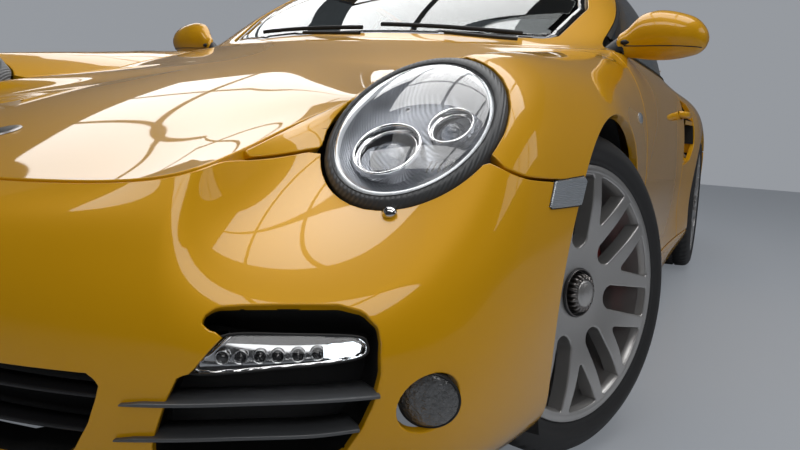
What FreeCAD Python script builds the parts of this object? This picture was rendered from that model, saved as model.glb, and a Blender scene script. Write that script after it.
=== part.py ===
"""Two-door rear-engined coupe car: body panels, glass, cabin, wheels and their carriers, as separate solids.

Frame: +X forward, +Y to the car's left, +Z up, origin on the floor under the middle of its length.
The front wheels stand steered to the right, as the car is parked. Millimetres and degrees.
"""
import FreeCAD, Part
import math
import os
import Sketcher

V = FreeCAD.Vector
doc = FreeCAD.newDocument("coupe")

# Driving sizes: alias, value, what it is
SIZES = [
    ("overall_length", 4450, "bumper to bumper"),
    ("overall_width", 1852, "over the rear arches"),
    ("overall_height", 1300, "roof above the floor"),
    ("wheelbase", 2350, "axle to axle"),
    ("front_axle_x", 1265, "front axle ahead of the middle"),
    ("front_track", 1490, "between front tyre middles"),
    ("rear_track", 1548, "between rear tyre middles"),
    ("front_tyre_radius", 323, "235/35 R19"),
    ("front_tyre_width", 235, ""),
    ("rear_tyre_radius", 333, "305/30 R19"),
    ("rear_tyre_width", 305, ""),
    ("bead_radius", 241, "19 inch rim seat"),
    ("flange_height", 11, "rim lip above the seat"),
    ("rim_wall", 8, "thickness of the rim barrel"),
    ("spoke_count", 7, "forked spokes of a wheel"),
    ("spoke_depth", 26, "front to back of a spoke"),
    ("spoke_width", 17, "width of one arm of a spoke"),
    ("hub_radius", 72, "wheel centre"),
    ("spindle_radius", 22, "stub axle"),
    ("front_disc_radius", 175, "brake disc"),
    ("rear_disc_radius", 170, "brake disc"),
    ("disc_thickness", 32, "brake disc"),
    ("kingpin_y", 690, "steering axis from the middle plane"),
    ("rest_steer", 23, "front wheels turned right as parked"),
    ("caster", 9, "steering axis leans back"),
    ("front_camber", 1.5, "wheel tops lean in"),
    ("rear_camber", 1.5, "wheel tops lean in"),
    ("front_arch_radius", 365, "wheel opening"),
    ("rear_arch_radius", 378, "wheel opening"),
    ("panel_wall", 36, "bumpers, wings and quarters with their inner skins"),
    ("roof_wall", 42, "roof skin, frame and lining"),
    ("lid_wall", 28, "bonnet and engine lid"),
    ("door_wall", 120, "door skin to door trim"),
    ("glass_wall", 5, "window glass"),
    ("shut_gap", 5, "gap round doors and lids"),
    ("fit_gap", 0.4, "gap between fixed neighbours"),
    ("door_front_x", 765, "front shut line of a door"),
    ("door_rear_x", -405, "rear shut line of a door"),
    ("sill_top_z", 243, "seam between sill and door"),
    ("hinge_setback", 30, "door hinge behind the shut line"),
    ("hinge_y", 875, "door hinge from the middle plane"),
    ("lamp_x", 1709, "headlamp middle"),
    ("lamp_y", 633, "headlamp middle"),
    ("lamp_z", 646, "headlamp middle"),
    ("lamp_slope", 47.3, "headlamp plane lifts from upright"),
    ("lamp_half_length", 174, "headlamp rim, along the slope"),
    ("lamp_half_width", 142, "headlamp rim, across the car"),
    ("lamp_dome", 34, "rise of the lens over its rim"),
    ("lamp_depth", 90, "headlamp housing"),
    ("fog_y", 757, "round front lamp"),
    ("fog_z", 300, "round front lamp"),
    ("fog_radius", 40, "round front lamp"),
    ("floor_z", 120, "underside of the floor"),
    ("floor_wall", 45, "floor plate"),
    ("floor_half_width", 788, "floor out to the sills"),
    ("front_bulkhead_x", 850, "ahead of the dashboard"),
    ("rear_bulkhead_x", -660, "behind the rear seats"),
    ("bulkhead_wall", 30, "front and rear bulkhead"),
    ("tub_half_width", 425, "front luggage space"),
    ("tub_wall", 12, "luggage tub"),
    ("engine_length", 600, "engine block"),
    ("engine_width", 720, "engine block"),
    ("engine_height", 350, "engine block"),
    ("gearbox_width", 340, "gearbox"),
    ("seat_y", 370, "front seat middles"),
    ("seat_width", 480, "front seat"),
    ("steering_wheel_radius", 180, "rim of the steering wheel"),
    ("wing_half_span", 600, "rear wing"),
    ("wing_chord", 260, "rear wing"),
    ("wing_x", -1690, "leading edge of the rear wing"),
    ("wing_z", 1058, "underside of the rear wing"),
    ("wing_post_y", 260, "posts of the rear wing from the middle plane"),
    ("wing_post_foot_z", 800, "foot of the posts, under the engine lid"),
    ("dashboard_width", 1370, "dashboard"),
    ("rear_seat_width", 420, "small rear seats"),
    ("wheel_rim_section", 15, "thickness radius of the steering wheel's rim"),
    ("wheel_height", 790, "middle of the steering wheel"),
    ("wheel_x", 330, "middle of the steering wheel"),
    ("pipe_wall", 4, "tail pipes"),
    ("rail_z", 250, "underside of the front rails"),
    ("rail_height", 90, "front rails"),
    ("tunnel_half_width", 120, "middle tunnel"),
    ("exhaust_radius", 42, "tail pipes"),
    ("plate_hole_spacing", 210, "screws of the rear number plate"),
    ("plate_hole_radius", 3, "screws of the rear number plate"),
]
sheet = doc.addObject("Spreadsheet::Sheet", "Sizes")
for line_number, (alias, value, meaning) in enumerate(SIZES, start=1):
    sheet.set("A%d" % line_number, alias)
    sheet.set("B%d" % line_number, str(value))
    sheet.set("C%d" % line_number, meaning)
    sheet.setAlias("B%d" % line_number, alias)
doc.recompute()


def size(alias):
    return float(sheet.get(alias))


# The body is drawn on a car this long, wide and high, and stretches with the driving sizes
DRAWN_LENGTH, DRAWN_WIDTH, DRAWN_HEIGHT = 4450, 1852, 1300

# Lower body, left half: one row for each station round the car, from the middle of the nose to the tail.
# Columns: lip, sill, low, waist, wide, shoulder, crest, inner edge; each is x, y, z.
BAND = [
    [(2150, 0, 165), (2195, 0, 200), (2215, 0, 270), (2225, 0, 350),
     (2220, 0, 420), (2200, 0, 475), (2165, 0, 518), (2115, 0, 545)],
    [(2135, 240, 160), (2180, 245, 197), (2200, 250, 268), (2208, 250, 350),
     (2202, 248, 420), (2182, 243, 475), (2150, 236, 518), (2100, 228, 546)],
    [(2055, 450, 155), (2105, 470, 195), (2128, 478, 265), (2138, 482, 350),
     (2131, 478, 420), (2110, 466, 478), (2088, 452, 525), (2058, 439, 561)],
    [(1945, 612, 150), (2000, 638, 192), (2030, 650, 265), (2042, 652, 350),
     (2034, 642, 418), (2008, 612, 480), (1985, 560, 542), (1985, 500, 590)],
    [(1838, 738, 150), (1885, 766, 195), (1915, 780, 265), (1925, 782, 350),
     (1912, 770, 425), (1865, 738, 505), (1790, 620, 632), (1830, 485, 632)],
    [(1690, 800, 152), (1712, 832, 200), (1722, 843, 265), (1725, 845, 350),
     (1716, 838, 440), (1692, 806, 568), (1600, 650, 757), (1640, 456, 675)],
    [(1480, 838, 155), (1480, 865, 200), (1480, 872, 280), (1480, 876, 380),
     (1480, 876, 500), (1478, 850, 655), (1455, 690, 795), (1440, 466, 722)],
    [(1265, 852, 152), (1265, 874, 202), (1265, 881, 280), (1265, 885, 400),
     (1265, 887, 530), (1265, 868, 688), (1265, 722, 816), (1265, 515, 775)],
    [(1040, 856, 152), (1040, 872, 206), (1040, 875, 285), (1040, 873, 400),
     (1040, 876, 530), (1040, 862, 690), (1040, 755, 838), (1040, 575, 828)],
    [(868, 860, 150), (868, 872, 208), (868, 872, 290), (868, 869, 400),
     (868, 872, 530), (868, 858, 692), (868, 780, 842), (868, 650, 864)],
    [(770, 862, 150), (770, 872, 210), (770, 870, 292), (770, 868, 400),
     (770, 871, 530), (770, 858, 694), (770, 806, 818), (770, 752, 877)],
    [(520, 866, 150), (520, 873, 213), (520, 868, 296), (520, 866, 400),
     (520, 870, 530), (520, 858, 696), (520, 822, 816), (520, 768, 884)],
    [(280, 868, 150), (280, 875, 215), (280, 867, 298), (280, 865, 400),
     (280, 870, 530), (280, 858, 698), (280, 824, 820), (280, 774, 888)],
    [(30, 870, 150), (30, 878, 217), (30, 868, 300), (30, 866, 400),
     (30, 871, 530), (30, 859, 700), (30, 826, 824), (30, 778, 891)],
    [(-250, 872, 150), (-250, 886, 220), (-250, 874, 300), (-250, 870, 400),
     (-250, 875, 530), (-250, 863, 705), (-250, 828, 832), (-250, 776, 894)],
    [(-520, 875, 150), (-520, 900, 224), (-520, 894, 300), (-520, 889, 410),
     (-520, 893, 540), (-520, 882, 718), (-520, 834, 845), (-520, 748, 897)],
    [(-800, 878, 152), (-800, 916, 226), (-800, 919, 305), (-800, 919, 420),
     (-800, 921, 560), (-800, 908, 735), (-800, 832, 858), (-800, 670, 900)],
    [(-1085, 878, 155), (-1085, 915, 225), (-1085, 924, 305), (-1085, 926, 430),
     (-1085, 925, 580), (-1085, 908, 745), (-1085, 820, 856), (-1085, 602, 888)],
    [(-1380, 866, 168), (-1380, 902, 232), (-1380, 916, 315), (-1380, 921, 435),
     (-1380, 919, 585), (-1380, 897, 730), (-1380, 795, 832), (-1380, 562, 864)],
    [(-1650, 830, 190), (-1650, 868, 245), (-1650, 889, 322), (-1650, 900, 442),
     (-1650, 898, 588), (-1650, 868, 708), (-1650, 755, 796), (-1650, 546, 832)],
    [(-1880, 770, 215), (-1880, 812, 264), (-1880, 838, 332), (-1880, 852, 450),
     (-1880, 850, 590), (-1880, 818, 692), (-1880, 708, 758), (-1880, 538, 782)],
    [(-2025, 650, 232), (-2062, 690, 276), (-2088, 718, 346), (-2100, 732, 458),
     (-2094, 728, 592), (-2065, 700, 672), (-2035, 612, 720), (-2045, 505, 742)],
    [(-2110, 460, 240), (-2150, 478, 282), (-2176, 490, 352), (-2190, 497, 465),
     (-2184, 494, 596), (-2158, 480, 668), (-2122, 440, 712), (-2080, 385, 745)],
    [(-2138, 235, 240), (-2180, 242, 282), (-2206, 248, 352), (-2219, 250, 465),
     (-2212, 249, 600), (-2188, 242, 670), (-2148, 225, 714), (-2098, 200, 747)],
    [(-2145, 0, 240), (-2187, 0, 282), (-2212, 0, 352), (-2225, 0, 465),
     (-2218, 0, 600), (-2193, 0, 672), (-2152, 0, 715), (-2102, 0, 748)],
]

# Upper body, left half, from the bonnet's rear edge to the tail.
# Columns: belt, side glass, roof rail, roof, middle; each is x, y, z.
TOP = [
    [(868, 650, 864), (890, 585, 868), (915, 480, 873), (942, 260, 880), (955, 0, 884)],
    [(770, 752, 877), (762, 688, 884), (775, 600, 889), (850, 320, 899), (882, 0, 904)],
    [(520, 768, 884), (530, 728, 950), (548, 674, 1018), (588, 350, 1056), (602, 0, 1066)],
    [(280, 774, 888), (285, 722, 1025), (292, 602, 1172), (318, 330, 1196), (330, 0, 1205)],
    [(30, 778, 891), (30, 712, 1062), (30, 562, 1238), (30, 310, 1276), (30, 0, 1288)],
    [(-250, 776, 894), (-250, 710, 1066), (-250, 562, 1244), (-250, 310, 1286), (-250, 0, 1300)],
    [(-520, 748, 897), (-520, 688, 1042), (-520, 555, 1210), (-520, 305, 1256), (-520, 0, 1270)],
    [(-800, 670, 900), (-800, 632, 1000), (-800, 525, 1132), (-800, 295, 1186), (-800, 0, 1202)],
    [(-1085, 602, 888), (-1085, 566, 952), (-1085, 486, 1038), (-1085, 280, 1090), (-1085, 0, 1106)],
    [(-1380, 562, 864), (-1380, 520, 896), (-1380, 445, 936), (-1380, 258, 974), (-1380, 0, 988)],
    [(-1650, 546, 832), (-1650, 498, 848), (-1650, 420, 864), (-1650, 240, 884), (-1650, 0, 892)],
    [(-1880, 538, 782), (-1880, 490, 792), (-1880, 410, 800), (-1880, 230, 811), (-1880, 0, 816)],
    [(-2045, 505, 742), (-2062, 450, 744), (-2078, 380, 746), (-2096, 215, 748), (-2102, 0, 748)],
]
TOP_FIRST_STATION = 9

# Bonnet, left half, from its front edge to its rear edge. Columns: middle, inner, outer, valley, side.
BONNET = [
    [(2115, 0, 545), (2108, 165, 545), (2088, 330, 551), (2050, 436, 564), (1985, 500, 590)],
    [(1925, 0, 606), (1922, 160, 606), (1905, 310, 606), (1870, 410, 614), (1830, 485, 632)],
    [(1700, 0, 676), (1696, 155, 675), (1680, 300, 670), (1660, 390, 669), (1640, 456, 675)],
    [(1475, 0, 738), (1472, 160, 736), (1460, 305, 729), (1450, 398, 723), (1440, 466, 722)],
    [(1275, 0, 792), (1275, 175, 790), (1272, 335, 783), (1268, 440, 777), (1265, 515, 775)],
    [(1070, 0, 846), (1068, 195, 845), (1058, 375, 840), (1048, 495, 833), (1040, 575, 828)],
    [(955, 0, 884), (948, 220, 881), (925, 425, 875), (896, 560, 869), (868, 650, 864)],
]


def mirrored(point):
    return V(point.x, -point.y, point.z)


class Skin:
    """Smooth half sheet through a table of points, carried by a cubic net; s counts rows, t counts columns."""

    def __init__(self, table, closed_front, closed_rear, closed_last_column=False, closed_first_column=False):
        stretch = (size("overall_length") / DRAWN_LENGTH, size("overall_width") / DRAWN_WIDTH,
                   size("overall_height") / DRAWN_HEIGHT)
        rows = [[V(x * stretch[0], y * stretch[1], z * stretch[2]) for x, y, z in row] for row in table]
        self.mirror_past_end = closed_rear
        self.mirror_sheet_column = len(rows[0]) - 1 if closed_last_column else None
        self.last_row, self.last_column = len(rows) - 1, len(rows[0]) - 1
        rows = self.tightened(rows, closed_front, closed_rear)
        columns = self.tightened(list(map(list, zip(*rows))), closed_first_column, closed_last_column)
        rows = self.padded(list(map(list, zip(*columns))), closed_front, closed_rear)
        columns = self.padded(list(map(list, zip(*rows))), closed_first_column, closed_last_column)
        self.net = list(map(list, zip(*columns)))

    @staticmethod
    def padded(lines, mirror_start, mirror_end):
        """One more line at each end: the mirror image of the second line, or a straight run on."""
        def beyond(edge, inside, mirror):
            return [mirrored(b) if mirror else a * 2 - b for a, b in zip(edge, inside)]
        return [beyond(lines[0], lines[1], mirror_start)] + lines + [beyond(lines[-1], lines[-2], mirror_end)]

    @classmethod
    def tightened(cls, lines, mirror_start, mirror_end):
        """The net lines for which the smooth sheet passes through the given lines, to a hair."""
        wide = cls.padded(lines, mirror_start, mirror_end)
        return [[b - (a - b * 2 + c) * (1 / 6) for a, b, c in zip(wide[k], wide[k + 1], wide[k + 2])]
                for k in range(len(lines))]

    @staticmethod
    def weights(u):
        return ((1 - u) ** 3 / 6, (3 * u ** 3 - 6 * u ** 2 + 4) / 6, (-3 * u ** 3 + 3 * u ** 2 + 3 * u + 1) / 6,
                u ** 3 / 6)

    def at(self, s, t):
        """Point of the sheet; a negative s on the band, or t past the middle column, gives the right half."""
        if s < 0:
            return mirrored(self.at(-s, t))
        if s > self.last_row and self.mirror_past_end:
            return mirrored(self.at(2 * self.last_row - s, t))
        if self.mirror_sheet_column is not None and t > self.mirror_sheet_column:
            return mirrored(self.at(s, 2 * self.mirror_sheet_column - t))
        i = min(int(s), self.last_row - 1)
        j = min(max(int(t), 0), self.last_column - 1)
        total = V()
        for a, row in zip(self.weights(s - i), self.net[i:i + 4]):
            for b, point in zip(self.weights(t - j), row[j:j + 4]):
                total += point * (a * b)
        return total

    def normal(self, s, t):
        step = 0.02
        along = self.at(s + step, t) - self.at(s - step, t) if s > step else self.at(s + step, t) - self.at(s, t)
        across = self.at(s, t + step) - self.at(s, t - step)
        return along.cross(across).normalize()


band = Skin(BAND, True, True)
top = Skin(TOP, False, False, closed_last_column=True)
bonnet_skin = Skin([row[::-1] for row in BONNET], False, False, closed_last_column=True)


def station(x):
    """Row of the side of the body at a length position: the sides' stations lie square to the car."""
    low, high = 6.0, float(TOP_FIRST_STATION + 11)
    for _ in range(40):
        middle = (low + high) / 2
        if band.at(middle, 3).x > x:
            low = middle
        else:
            high = middle
    return low


def column_at_height(skin, s, z, low, high):
    for _ in range(40):
        middle = (low + high) / 2
        if skin.at(s, middle).z < z:
            low = middle
        else:
            high = middle
    return low


def between(pairs, x):
    """Straight-line reading of a short table of (x, value) with rising x."""
    for (x0, v0), (x1, v1) in zip(pairs, pairs[1:]):
        if x <= x1:
            return v0 + (v1 - v0) * max(x - x0, 0) / (x1 - x0)
    return pairs[-1][1]


def spread(start, end, count):
    return [start + (end - start) * k / count for k in range(count + 1)]


def solid_from(points, triangles):
    shell = Part.Shape()
    shell.makeShapeFromMesh((points, triangles), 0.01)
    solid = Part.makeSolid(shell)
    if solid.Volume < 0:
        solid.reverse()
    return solid


def plate(outer, inner):
    """Closed solid between two grids of points of the same size."""
    rows, columns = len(outer), len(outer[0])
    points = [p for grid in (outer, inner) for row in grid for p in row]

    def index(side, i, j):
        return side * rows * columns + i * columns + j

    triangles = []

    def quad(a, b, c, d):
        triangles.extend([(a, b, c), (a, c, d)])

    for i in range(rows - 1):
        for j in range(columns - 1):
            quad(index(0, i, j), index(0, i + 1, j), index(0, i + 1, j + 1), index(0, i, j + 1))
            quad(index(1, i, j), index(1, i, j + 1), index(1, i + 1, j + 1), index(1, i + 1, j))
    for i in range(rows - 1):
        quad(index(0, i, 0), index(1, i, 0), index(1, i + 1, 0), index(0, i + 1, 0))
        quad(index(0, i, columns - 1), index(0, i + 1, columns - 1), index(1, i + 1, columns - 1),
             index(1, i, columns - 1))
    for j in range(columns - 1):
        quad(index(0, 0, j), index(0, 0, j + 1), index(1, 0, j + 1), index(1, 0, j))
        quad(index(0, rows - 1, j), index(1, rows - 1, j), index(1, rows - 1, j + 1), index(0, rows - 1, j + 1))
    return solid_from(points, triangles)


def sheet_grid(skin, s_range, t_low, t_high, rows, columns, bevel=(0, 0, 0, 0)):
    """Pairs (s, t) on a patch of a skin; the limits in t may be functions of s, and rows a list of s.

    The bevel draws the patch in at its first row, last row, low edge and high edge.
    """
    low = t_low if callable(t_low) else lambda s: t_low
    high = t_high if callable(t_high) else lambda s: t_high
    start, length = s_range[0], s_range[1] - s_range[0]
    grid = []
    for s in rows if isinstance(rows, list) else spread(start, s_range[1], rows):
        inward = start + bevel[0] + (length - bevel[0] - bevel[1]) * (s - start) / length
        t0, t1 = low(s) + bevel[2], high(s) - bevel[3]
        grid.append([(inward, t0 + (t1 - t0) * j / columns) for j in range(columns + 1)])
    return grid


def offset_points(skin, grid, depth):
    return [[skin.at(s, t) - skin.normal(s, t) * depth for s, t in row] for row in grid]


def panel(skin, s_range, t_low, t_high, rows, columns, depth, wall, bevel=(0, 0, 0, 0)):
    """Thick panel on a patch of a skin, from depth under the surface to depth plus wall; its back may be smaller."""
    face = sheet_grid(skin, s_range, t_low, t_high, rows, columns)
    back = sheet_grid(skin, s_range, t_low, t_high, rows, columns, bevel)
    return plate(offset_points(skin, face, depth), offset_points(skin, back, depth + wall))


def both_sides(shape):
    """The left solid and its mirror image, as two solids that don't touch."""
    return Part.makeCompound([shape, shape.mirror(V(), V(0, 1, 0))])


def prism(points, direction):
    return Part.Face(Part.makePolygon(points + [points[0]])).extrude(direction)


def oval(centre, half_width, half_length, normal, grow=0, count=36):
    across = V(0, 0, 1).cross(normal).normalize()
    up = normal.cross(across)
    points = []
    for k in range(count):
        turn = 2 * math.pi * k / count
        points.append(centre + across * ((half_width + grow) * math.cos(turn))
                      + up * ((half_length + grow) * math.sin(turn)))
    return points


def add(label, shape):
    """A named sub-part whose shape is worked out here from the sheet."""
    feature = doc.addObject("Part::Feature", label)
    feature.Label = label
    feature.Shape = shape
    return feature


PARTS = []


def keep(label, shape):
    PARTS.append(add(label, shape))


def total(constant, *terms):
    """A length bound to the sheet: a constant plus shares of driving sizes, as its value and its formula."""
    value = constant + sum(share * size(alias) for alias, share in terms)
    formula = " + ".join(["(%s)" % constant] + ["(%s) * Sizes.%s" % (share, alias) for alias, share in terms])
    return value, formula


def bind(item, **formulas):
    for name, length in formulas.items():
        item.setExpression(name.replace("_", "."), length[1])


def bound_box(name, x, y, z):
    """Box between two bound lengths along each axis."""
    item = doc.addObject("Part::Box", name)
    for (low, high), length, place in ((x, "Length", "x"), (y, "Width", "y"), (z, "Height", "z")):
        item.setExpression(length, "(%s) - (%s)" % (high[1], low[1]))
        item.setExpression("Placement.Base." + place, low[1])
    return item


def bound_cylinder(name, radius, height, foot, rotation):
    item = doc.addObject("Part::Cylinder", name)
    item.Placement = FreeCAD.Placement(V(*[length[0] for length in foot]), rotation)
    bind(item, Radius=radius, Height=height)
    bind(item, Placement_Base_x=foot[0], Placement_Base_y=foot[1], Placement_Base_z=foot[2])
    return item


def joined(kind, label, pieces):
    """Fusion or compound of objects of the document."""
    item = doc.addObject(kind, label)
    item.Label = label
    if kind == "Part::Compound":
        item.Links = pieces
    else:
        item.Shapes = pieces
    return item


def cut_away(label, base, tool):
    item = doc.addObject("Part::Cut", label)
    item.Label = label
    item.Base, item.Tool = base, tool
    return item


def new_body(label):
    body = doc.addObject("PartDesign::Body", label)
    body.Label = label
    return body


def outline(body, name, plane, loops, lift=None):
    """Closed outlines on one of a body's own planes, every corner bound to the sheet."""
    sketch = body.newObject("Sketcher::SketchObject", name)
    support = [feature for feature in body.Origin.OriginFeatures if feature.Role == plane][0]
    sketch.AttachmentSupport = [(support, "")]
    sketch.MapMode = "FlatFace"
    if lift:
        sketch.setExpression("AttachmentOffset.Base.z", lift[1])
    first = 0
    for corners in loops:
        count = len(corners)
        for k, (across, up) in enumerate(corners):
            next_across, next_up = corners[(k + 1) % count]
            sketch.addGeometry(Part.LineSegment(V(across[0], up[0], 0), V(next_across[0], next_up[0], 0)))
        for k, (across, up) in enumerate(corners):
            sketch.addConstraint(Sketcher.Constraint("Coincident", first + k, 2, first + (k + 1) % count, 1))
            for way, length in (("DistanceX", across), ("DistanceY", up)):
                number = sketch.addConstraint(Sketcher.Constraint(way, -1, 1, first + k, 1, length[0]))
                if "Sizes" in length[1]:
                    sketch.setExpression("Constraints[%d]" % number, length[1])
        first += count
    return sketch


def pad(body, sketch, length, middle):
    """Pad of a sketch, to both sides of its plane or along its normal."""
    feature = body.newObject("PartDesign::Pad", "Pad")
    feature.Profile = sketch
    feature.SideType = "Symmetric" if middle else "One side"
    feature.setExpression("Length", length[1])
    return feature


def revolved_body(label, profile):
    """Body turned about its own Y axis from bound (radius, y) corners."""
    body = new_body(label)
    sketch = outline(body, "Section", "XY_Plane", [profile])
    feature = body.newObject("PartDesign::Revolution", "Revolution")
    feature.Profile = sketch
    feature.ReferenceAxis = (sketch, ["V_Axis"])
    feature.Angle = 360
    return body


def plain(points):
    """Corners that follow no driving size."""
    return [(total(across), total(up)) for across, up in points]


def box(x0, x1, y0, y1, z0, z1):
    return Part.makeBox(x1 - x0, y1 - y0, z1 - z0, V(x0, y0, z0))


wall = size("panel_wall")
gap = size("shut_gap")
fit = size("fit_gap")

# Places that several panels share
rear_axle_x = size("front_axle_x") - size("wheelbase")
front_hub_z = size("front_tyre_radius")
rear_hub_z = size("rear_tyre_radius")
lamp_centre = V(size("lamp_x"), size("lamp_y"), size("lamp_z"))
lamp_tilt = math.radians(size("lamp_slope"))
lamp_normal = V(math.cos(lamp_tilt), 0.015, math.sin(lamp_tilt)).normalize()
arch_depth = 420


def arch(x, z, radius):
    """Cutter for a wheel opening, from inside the body out past its side."""
    return Part.makeCylinder(radius, arch_depth, V(x, size("overall_width") / 2 - arch_depth + 40, z), V(0, 1, 0))


front_arch = arch(size("front_axle_x"), front_hub_z, size("front_arch_radius"))
rear_arch = arch(rear_axle_x, rear_hub_z, size("rear_arch_radius"))
lamp_hole = prism(oval(lamp_centre + lamp_normal * 150, size("lamp_half_width"), size("lamp_half_length"),
                       lamp_normal, fit), lamp_normal * -330)

# Seam between front bumper and front wing: station, column
NOSE_SEAM = [(0, 7), (3, 7), (3.6, 6.4), (4.6, 5.35), (5, 5.0), (6, 4.45)]
seam_half = 0.006


def nose_seam(s):
    return between(NOSE_SEAM, abs(s))


def sill_column(s):
    return column_at_height(band, s, size("sill_top_z") + 2 * fit, 0, 3)


# Openings in the front bumper, in front view: y, z
OUTER_INTAKE = [(585, 411), (700, 420), (728, 400), (727, 375), (705, 271), (690, 215), (535, 200), (530, 300),
                (553, 345), (570, 385)]
CENTRE_INTAKE = [(400, 205), (412, 239), (440, 325), (430, 337), (-430, 337), (-440, 325), (-412, 239), (-400, 205)]
intake_depth = 420
intake_front_x = size("overall_length") / 2 + 10


def intake_cutter(outline):
    return prism([V(intake_front_x, y, z) for y, z in outline], V(-intake_depth, 0, 0))


def front_bumper():
    shape = panel(band, (-6, 6), 0, lambda s: nose_seam(s) - seam_half, 48, 8, 0, wall, (0, 0, 0, 0.15))
    intake = intake_cutter(OUTER_INTAKE)
    cutters = [intake_cutter(CENTRE_INTAKE)]
    for cutter in (intake, lamp_hole, front_arch, fog_cylinder(fit, 0, wall + 20)):
        cutters += [cutter, cutter.mirror(V(), V(0, 1, 0))]
    for cutter in cutters:
        shape = shape.cut(cutter)
    return shape


def fog_axis():
    """Foot of the round lamp on the bumper, and its outward direction."""
    t = column_at_height(band, 4.05, size("fog_z"), 1, 4)
    s = min((abs(band.at(a / 100, t).y - size("fog_y")), a / 100) for a in range(330, 470))[1]
    return band.at(s, t), band.normal(s, t)


def fog_cylinder(grow, start, depth):
    foot, out = fog_axis()
    return Part.makeCylinder(size("fog_radius") + grow, depth, foot + out * (10 if start == 0 else -start), out * -1)


def front_wing():
    """Wing over the front wheel, from the bumper seam to the door and up to the bonnet."""
    def low(s):
        return nose_seam(s) + seam_half if s < 6.05 else sill_column(s)
    rear = station(size("door_front_x") + gap)
    ahead = panel(band, (3.25, 6.0), low, 7, 14, 8, 0, wall, (0, 0, 0.02, 0.1))
    behind = panel(band, (6.0, rear), lambda s: sill_column(max(s, 6.1)), 7, 12, 12, 0, wall, (0, 0.2, 0.05, 0.1))
    shape = ahead.fuse(behind)
    return shape.cut(front_arch).cut(lamp_hole)


def quarter():
    """Rear quarter with the arch, from the door to the tail lamp, and over the lamp to the engine lid."""
    front = station(size("door_rear_x") - gap - 1.5)

    def low(s):
        if s < QUARTER_SPLIT:
            return sill_column(s)
        return LAMP_FOOT if s < LAMP_START + step / 2 else LAMP_HEAD
    step = 0.01
    rows = spread(front, QUARTER_SPLIT - 0.1, 12) + spread(QUARTER_SPLIT + 0.1, LAMP_START, 10)
    rows += spread(LAMP_START + step, LAMP_END, 8)
    shape = panel(band, (front, LAMP_END), low, 7 - seam_half, rows, 12, 0, wall, (0.1, 0.05, 0.1, 0.1))
    return shape.cut(rear_arch)


# Tail lamp on the band: first and last station, lower and upper column; the quarter's foot jumps inside the arch
LAMP_START, LAMP_END, LAMP_FOOT, LAMP_HEAD = 20.2, 22.4, 4.1, 5.65
QUARTER_SPLIT = 17.4


def rear_bumper():
    middle, step = len(BAND) - 1, 0.01
    riser = LAMP_END + seam_half
    rows = spread(QUARTER_SPLIT, riser - step, 22) + spread(riser, 2 * middle - riser, 16)
    rows += spread(2 * middle - riser + step, 2 * middle - QUARTER_SPLIT, 22)
    shape = panel(band, (rows[0], rows[-1]), 0,
                  lambda s: 7 - 0.06 if abs(s - middle) < middle - riser + step / 2 else LAMP_FOOT - seam_half,
                  rows, 10, 0, wall)
    half = size("plate_hole_spacing") / 2
    for y in (-half, half):
        shape = shape.cut(Part.makeCylinder(size("plate_hole_radius"), 200,
                                            V(-size("overall_length") / 2 - 20, y, 465), V(1, 0, 0)))
    for cutter in [rear_arch] + [Part.makeCylinder(size("exhaust_radius") + gap, 300, V(-2300, y, EXHAUST_Z), V(1, 0, 0))
                                 for y in EXHAUST_Y]:
        shape = shape.cut(cutter).cut(cutter.mirror(V(), V(0, 1, 0)))
    return shape


EXHAUST_Y, EXHAUST_Z = (490, 590), 262


def sill():
    front = station(size("front_axle_x") - size("front_arch_radius") + 8)
    rear = station(rear_axle_x + size("rear_arch_radius") - 8)
    grid = sheet_grid(band, (front, rear), 0, lambda s: column_at_height(band, s, size("sill_top_z"), 0, 3), 14, 3)
    outer = offset_points(band, grid, 0)
    inner = [[V(p.x, size("floor_half_width") + fit, p.z) for p in row] for row in outer]
    return both_sides(plate(outer, inner).cut(front_arch).cut(rear_arch))


door_inner_y = 695


def door():
    """Door without its glass: skin to trim, shorter at the back on the inside so that it swings clear."""
    front, rear = station(size("door_front_x")), station(size("door_rear_x"))
    inner_rear_shift = 26
    grid = sheet_grid(band, (front, rear), lambda s: column_at_height(band, s, size("sill_top_z") + gap, 0, 3),
                      7 - 0.05, 12, 9)
    outer = offset_points(band, grid, 0)
    inner = []
    for i, row in enumerate(outer):
        shift = inner_rear_shift * max(0, i - 10) / 2
        inner.append([V(p.x + shift, max(p.y - size("door_wall"), door_inner_y), p.z) for p in row])
    return plate(outer, inner).cut(door_glass_solid(fit))


# Upper edge of the side windows, from the rear corner to the front corner: x, z
SIDE_WINDOW_TOP = [(-940, 1012), (-800, 1094), (-520, 1178), (-250, 1214), (30, 1206), (160, 1184), (292, 1136),
                   (548, 986), (715, 890)]
QUARTER_GLASS_FOOT = [(-940, 990), (-880, 925), (-800, 914), (-415, 908)]


def glass_sheet(x_values, low, high, levels, depth, thickness):
    """Side glass: a thin plate on the upper skin between two heights that are functions of x."""
    outer, inner = [], []
    for x in x_values:
        s = top_row_at(x)
        belt = top.at(s, 0)
        out_row, in_row = [], []
        for k in range(levels + 1):
            z = low(x) + (high(x) - low(x)) * k / levels
            if z > belt.z:
                t = column_at_height(top, s, z, 0, 2.2)
                y = top.at(s, t).y
            else:
                slope = (belt.y - top.at(s, 0.3).y) / (top.at(s, 0.3).z - belt.z)
                y = belt.y + slope * (belt.z - z)
            out_row.append(V(x, y - depth, z))
            in_row.append(V(x, y - depth - thickness, z))
        outer.append(out_row)
        inner.append(in_row)
    return plate(outer, inner)


def top_row_at(x):
    low, high = 1.0, 11.5
    for _ in range(40):
        middle = (low + high) / 2
        if top.at(middle, 0.6).x > x:
            low = middle
        else:
            high = middle
    return low


GLASS_FRONT_X = 640
glass_depth = 4


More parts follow.
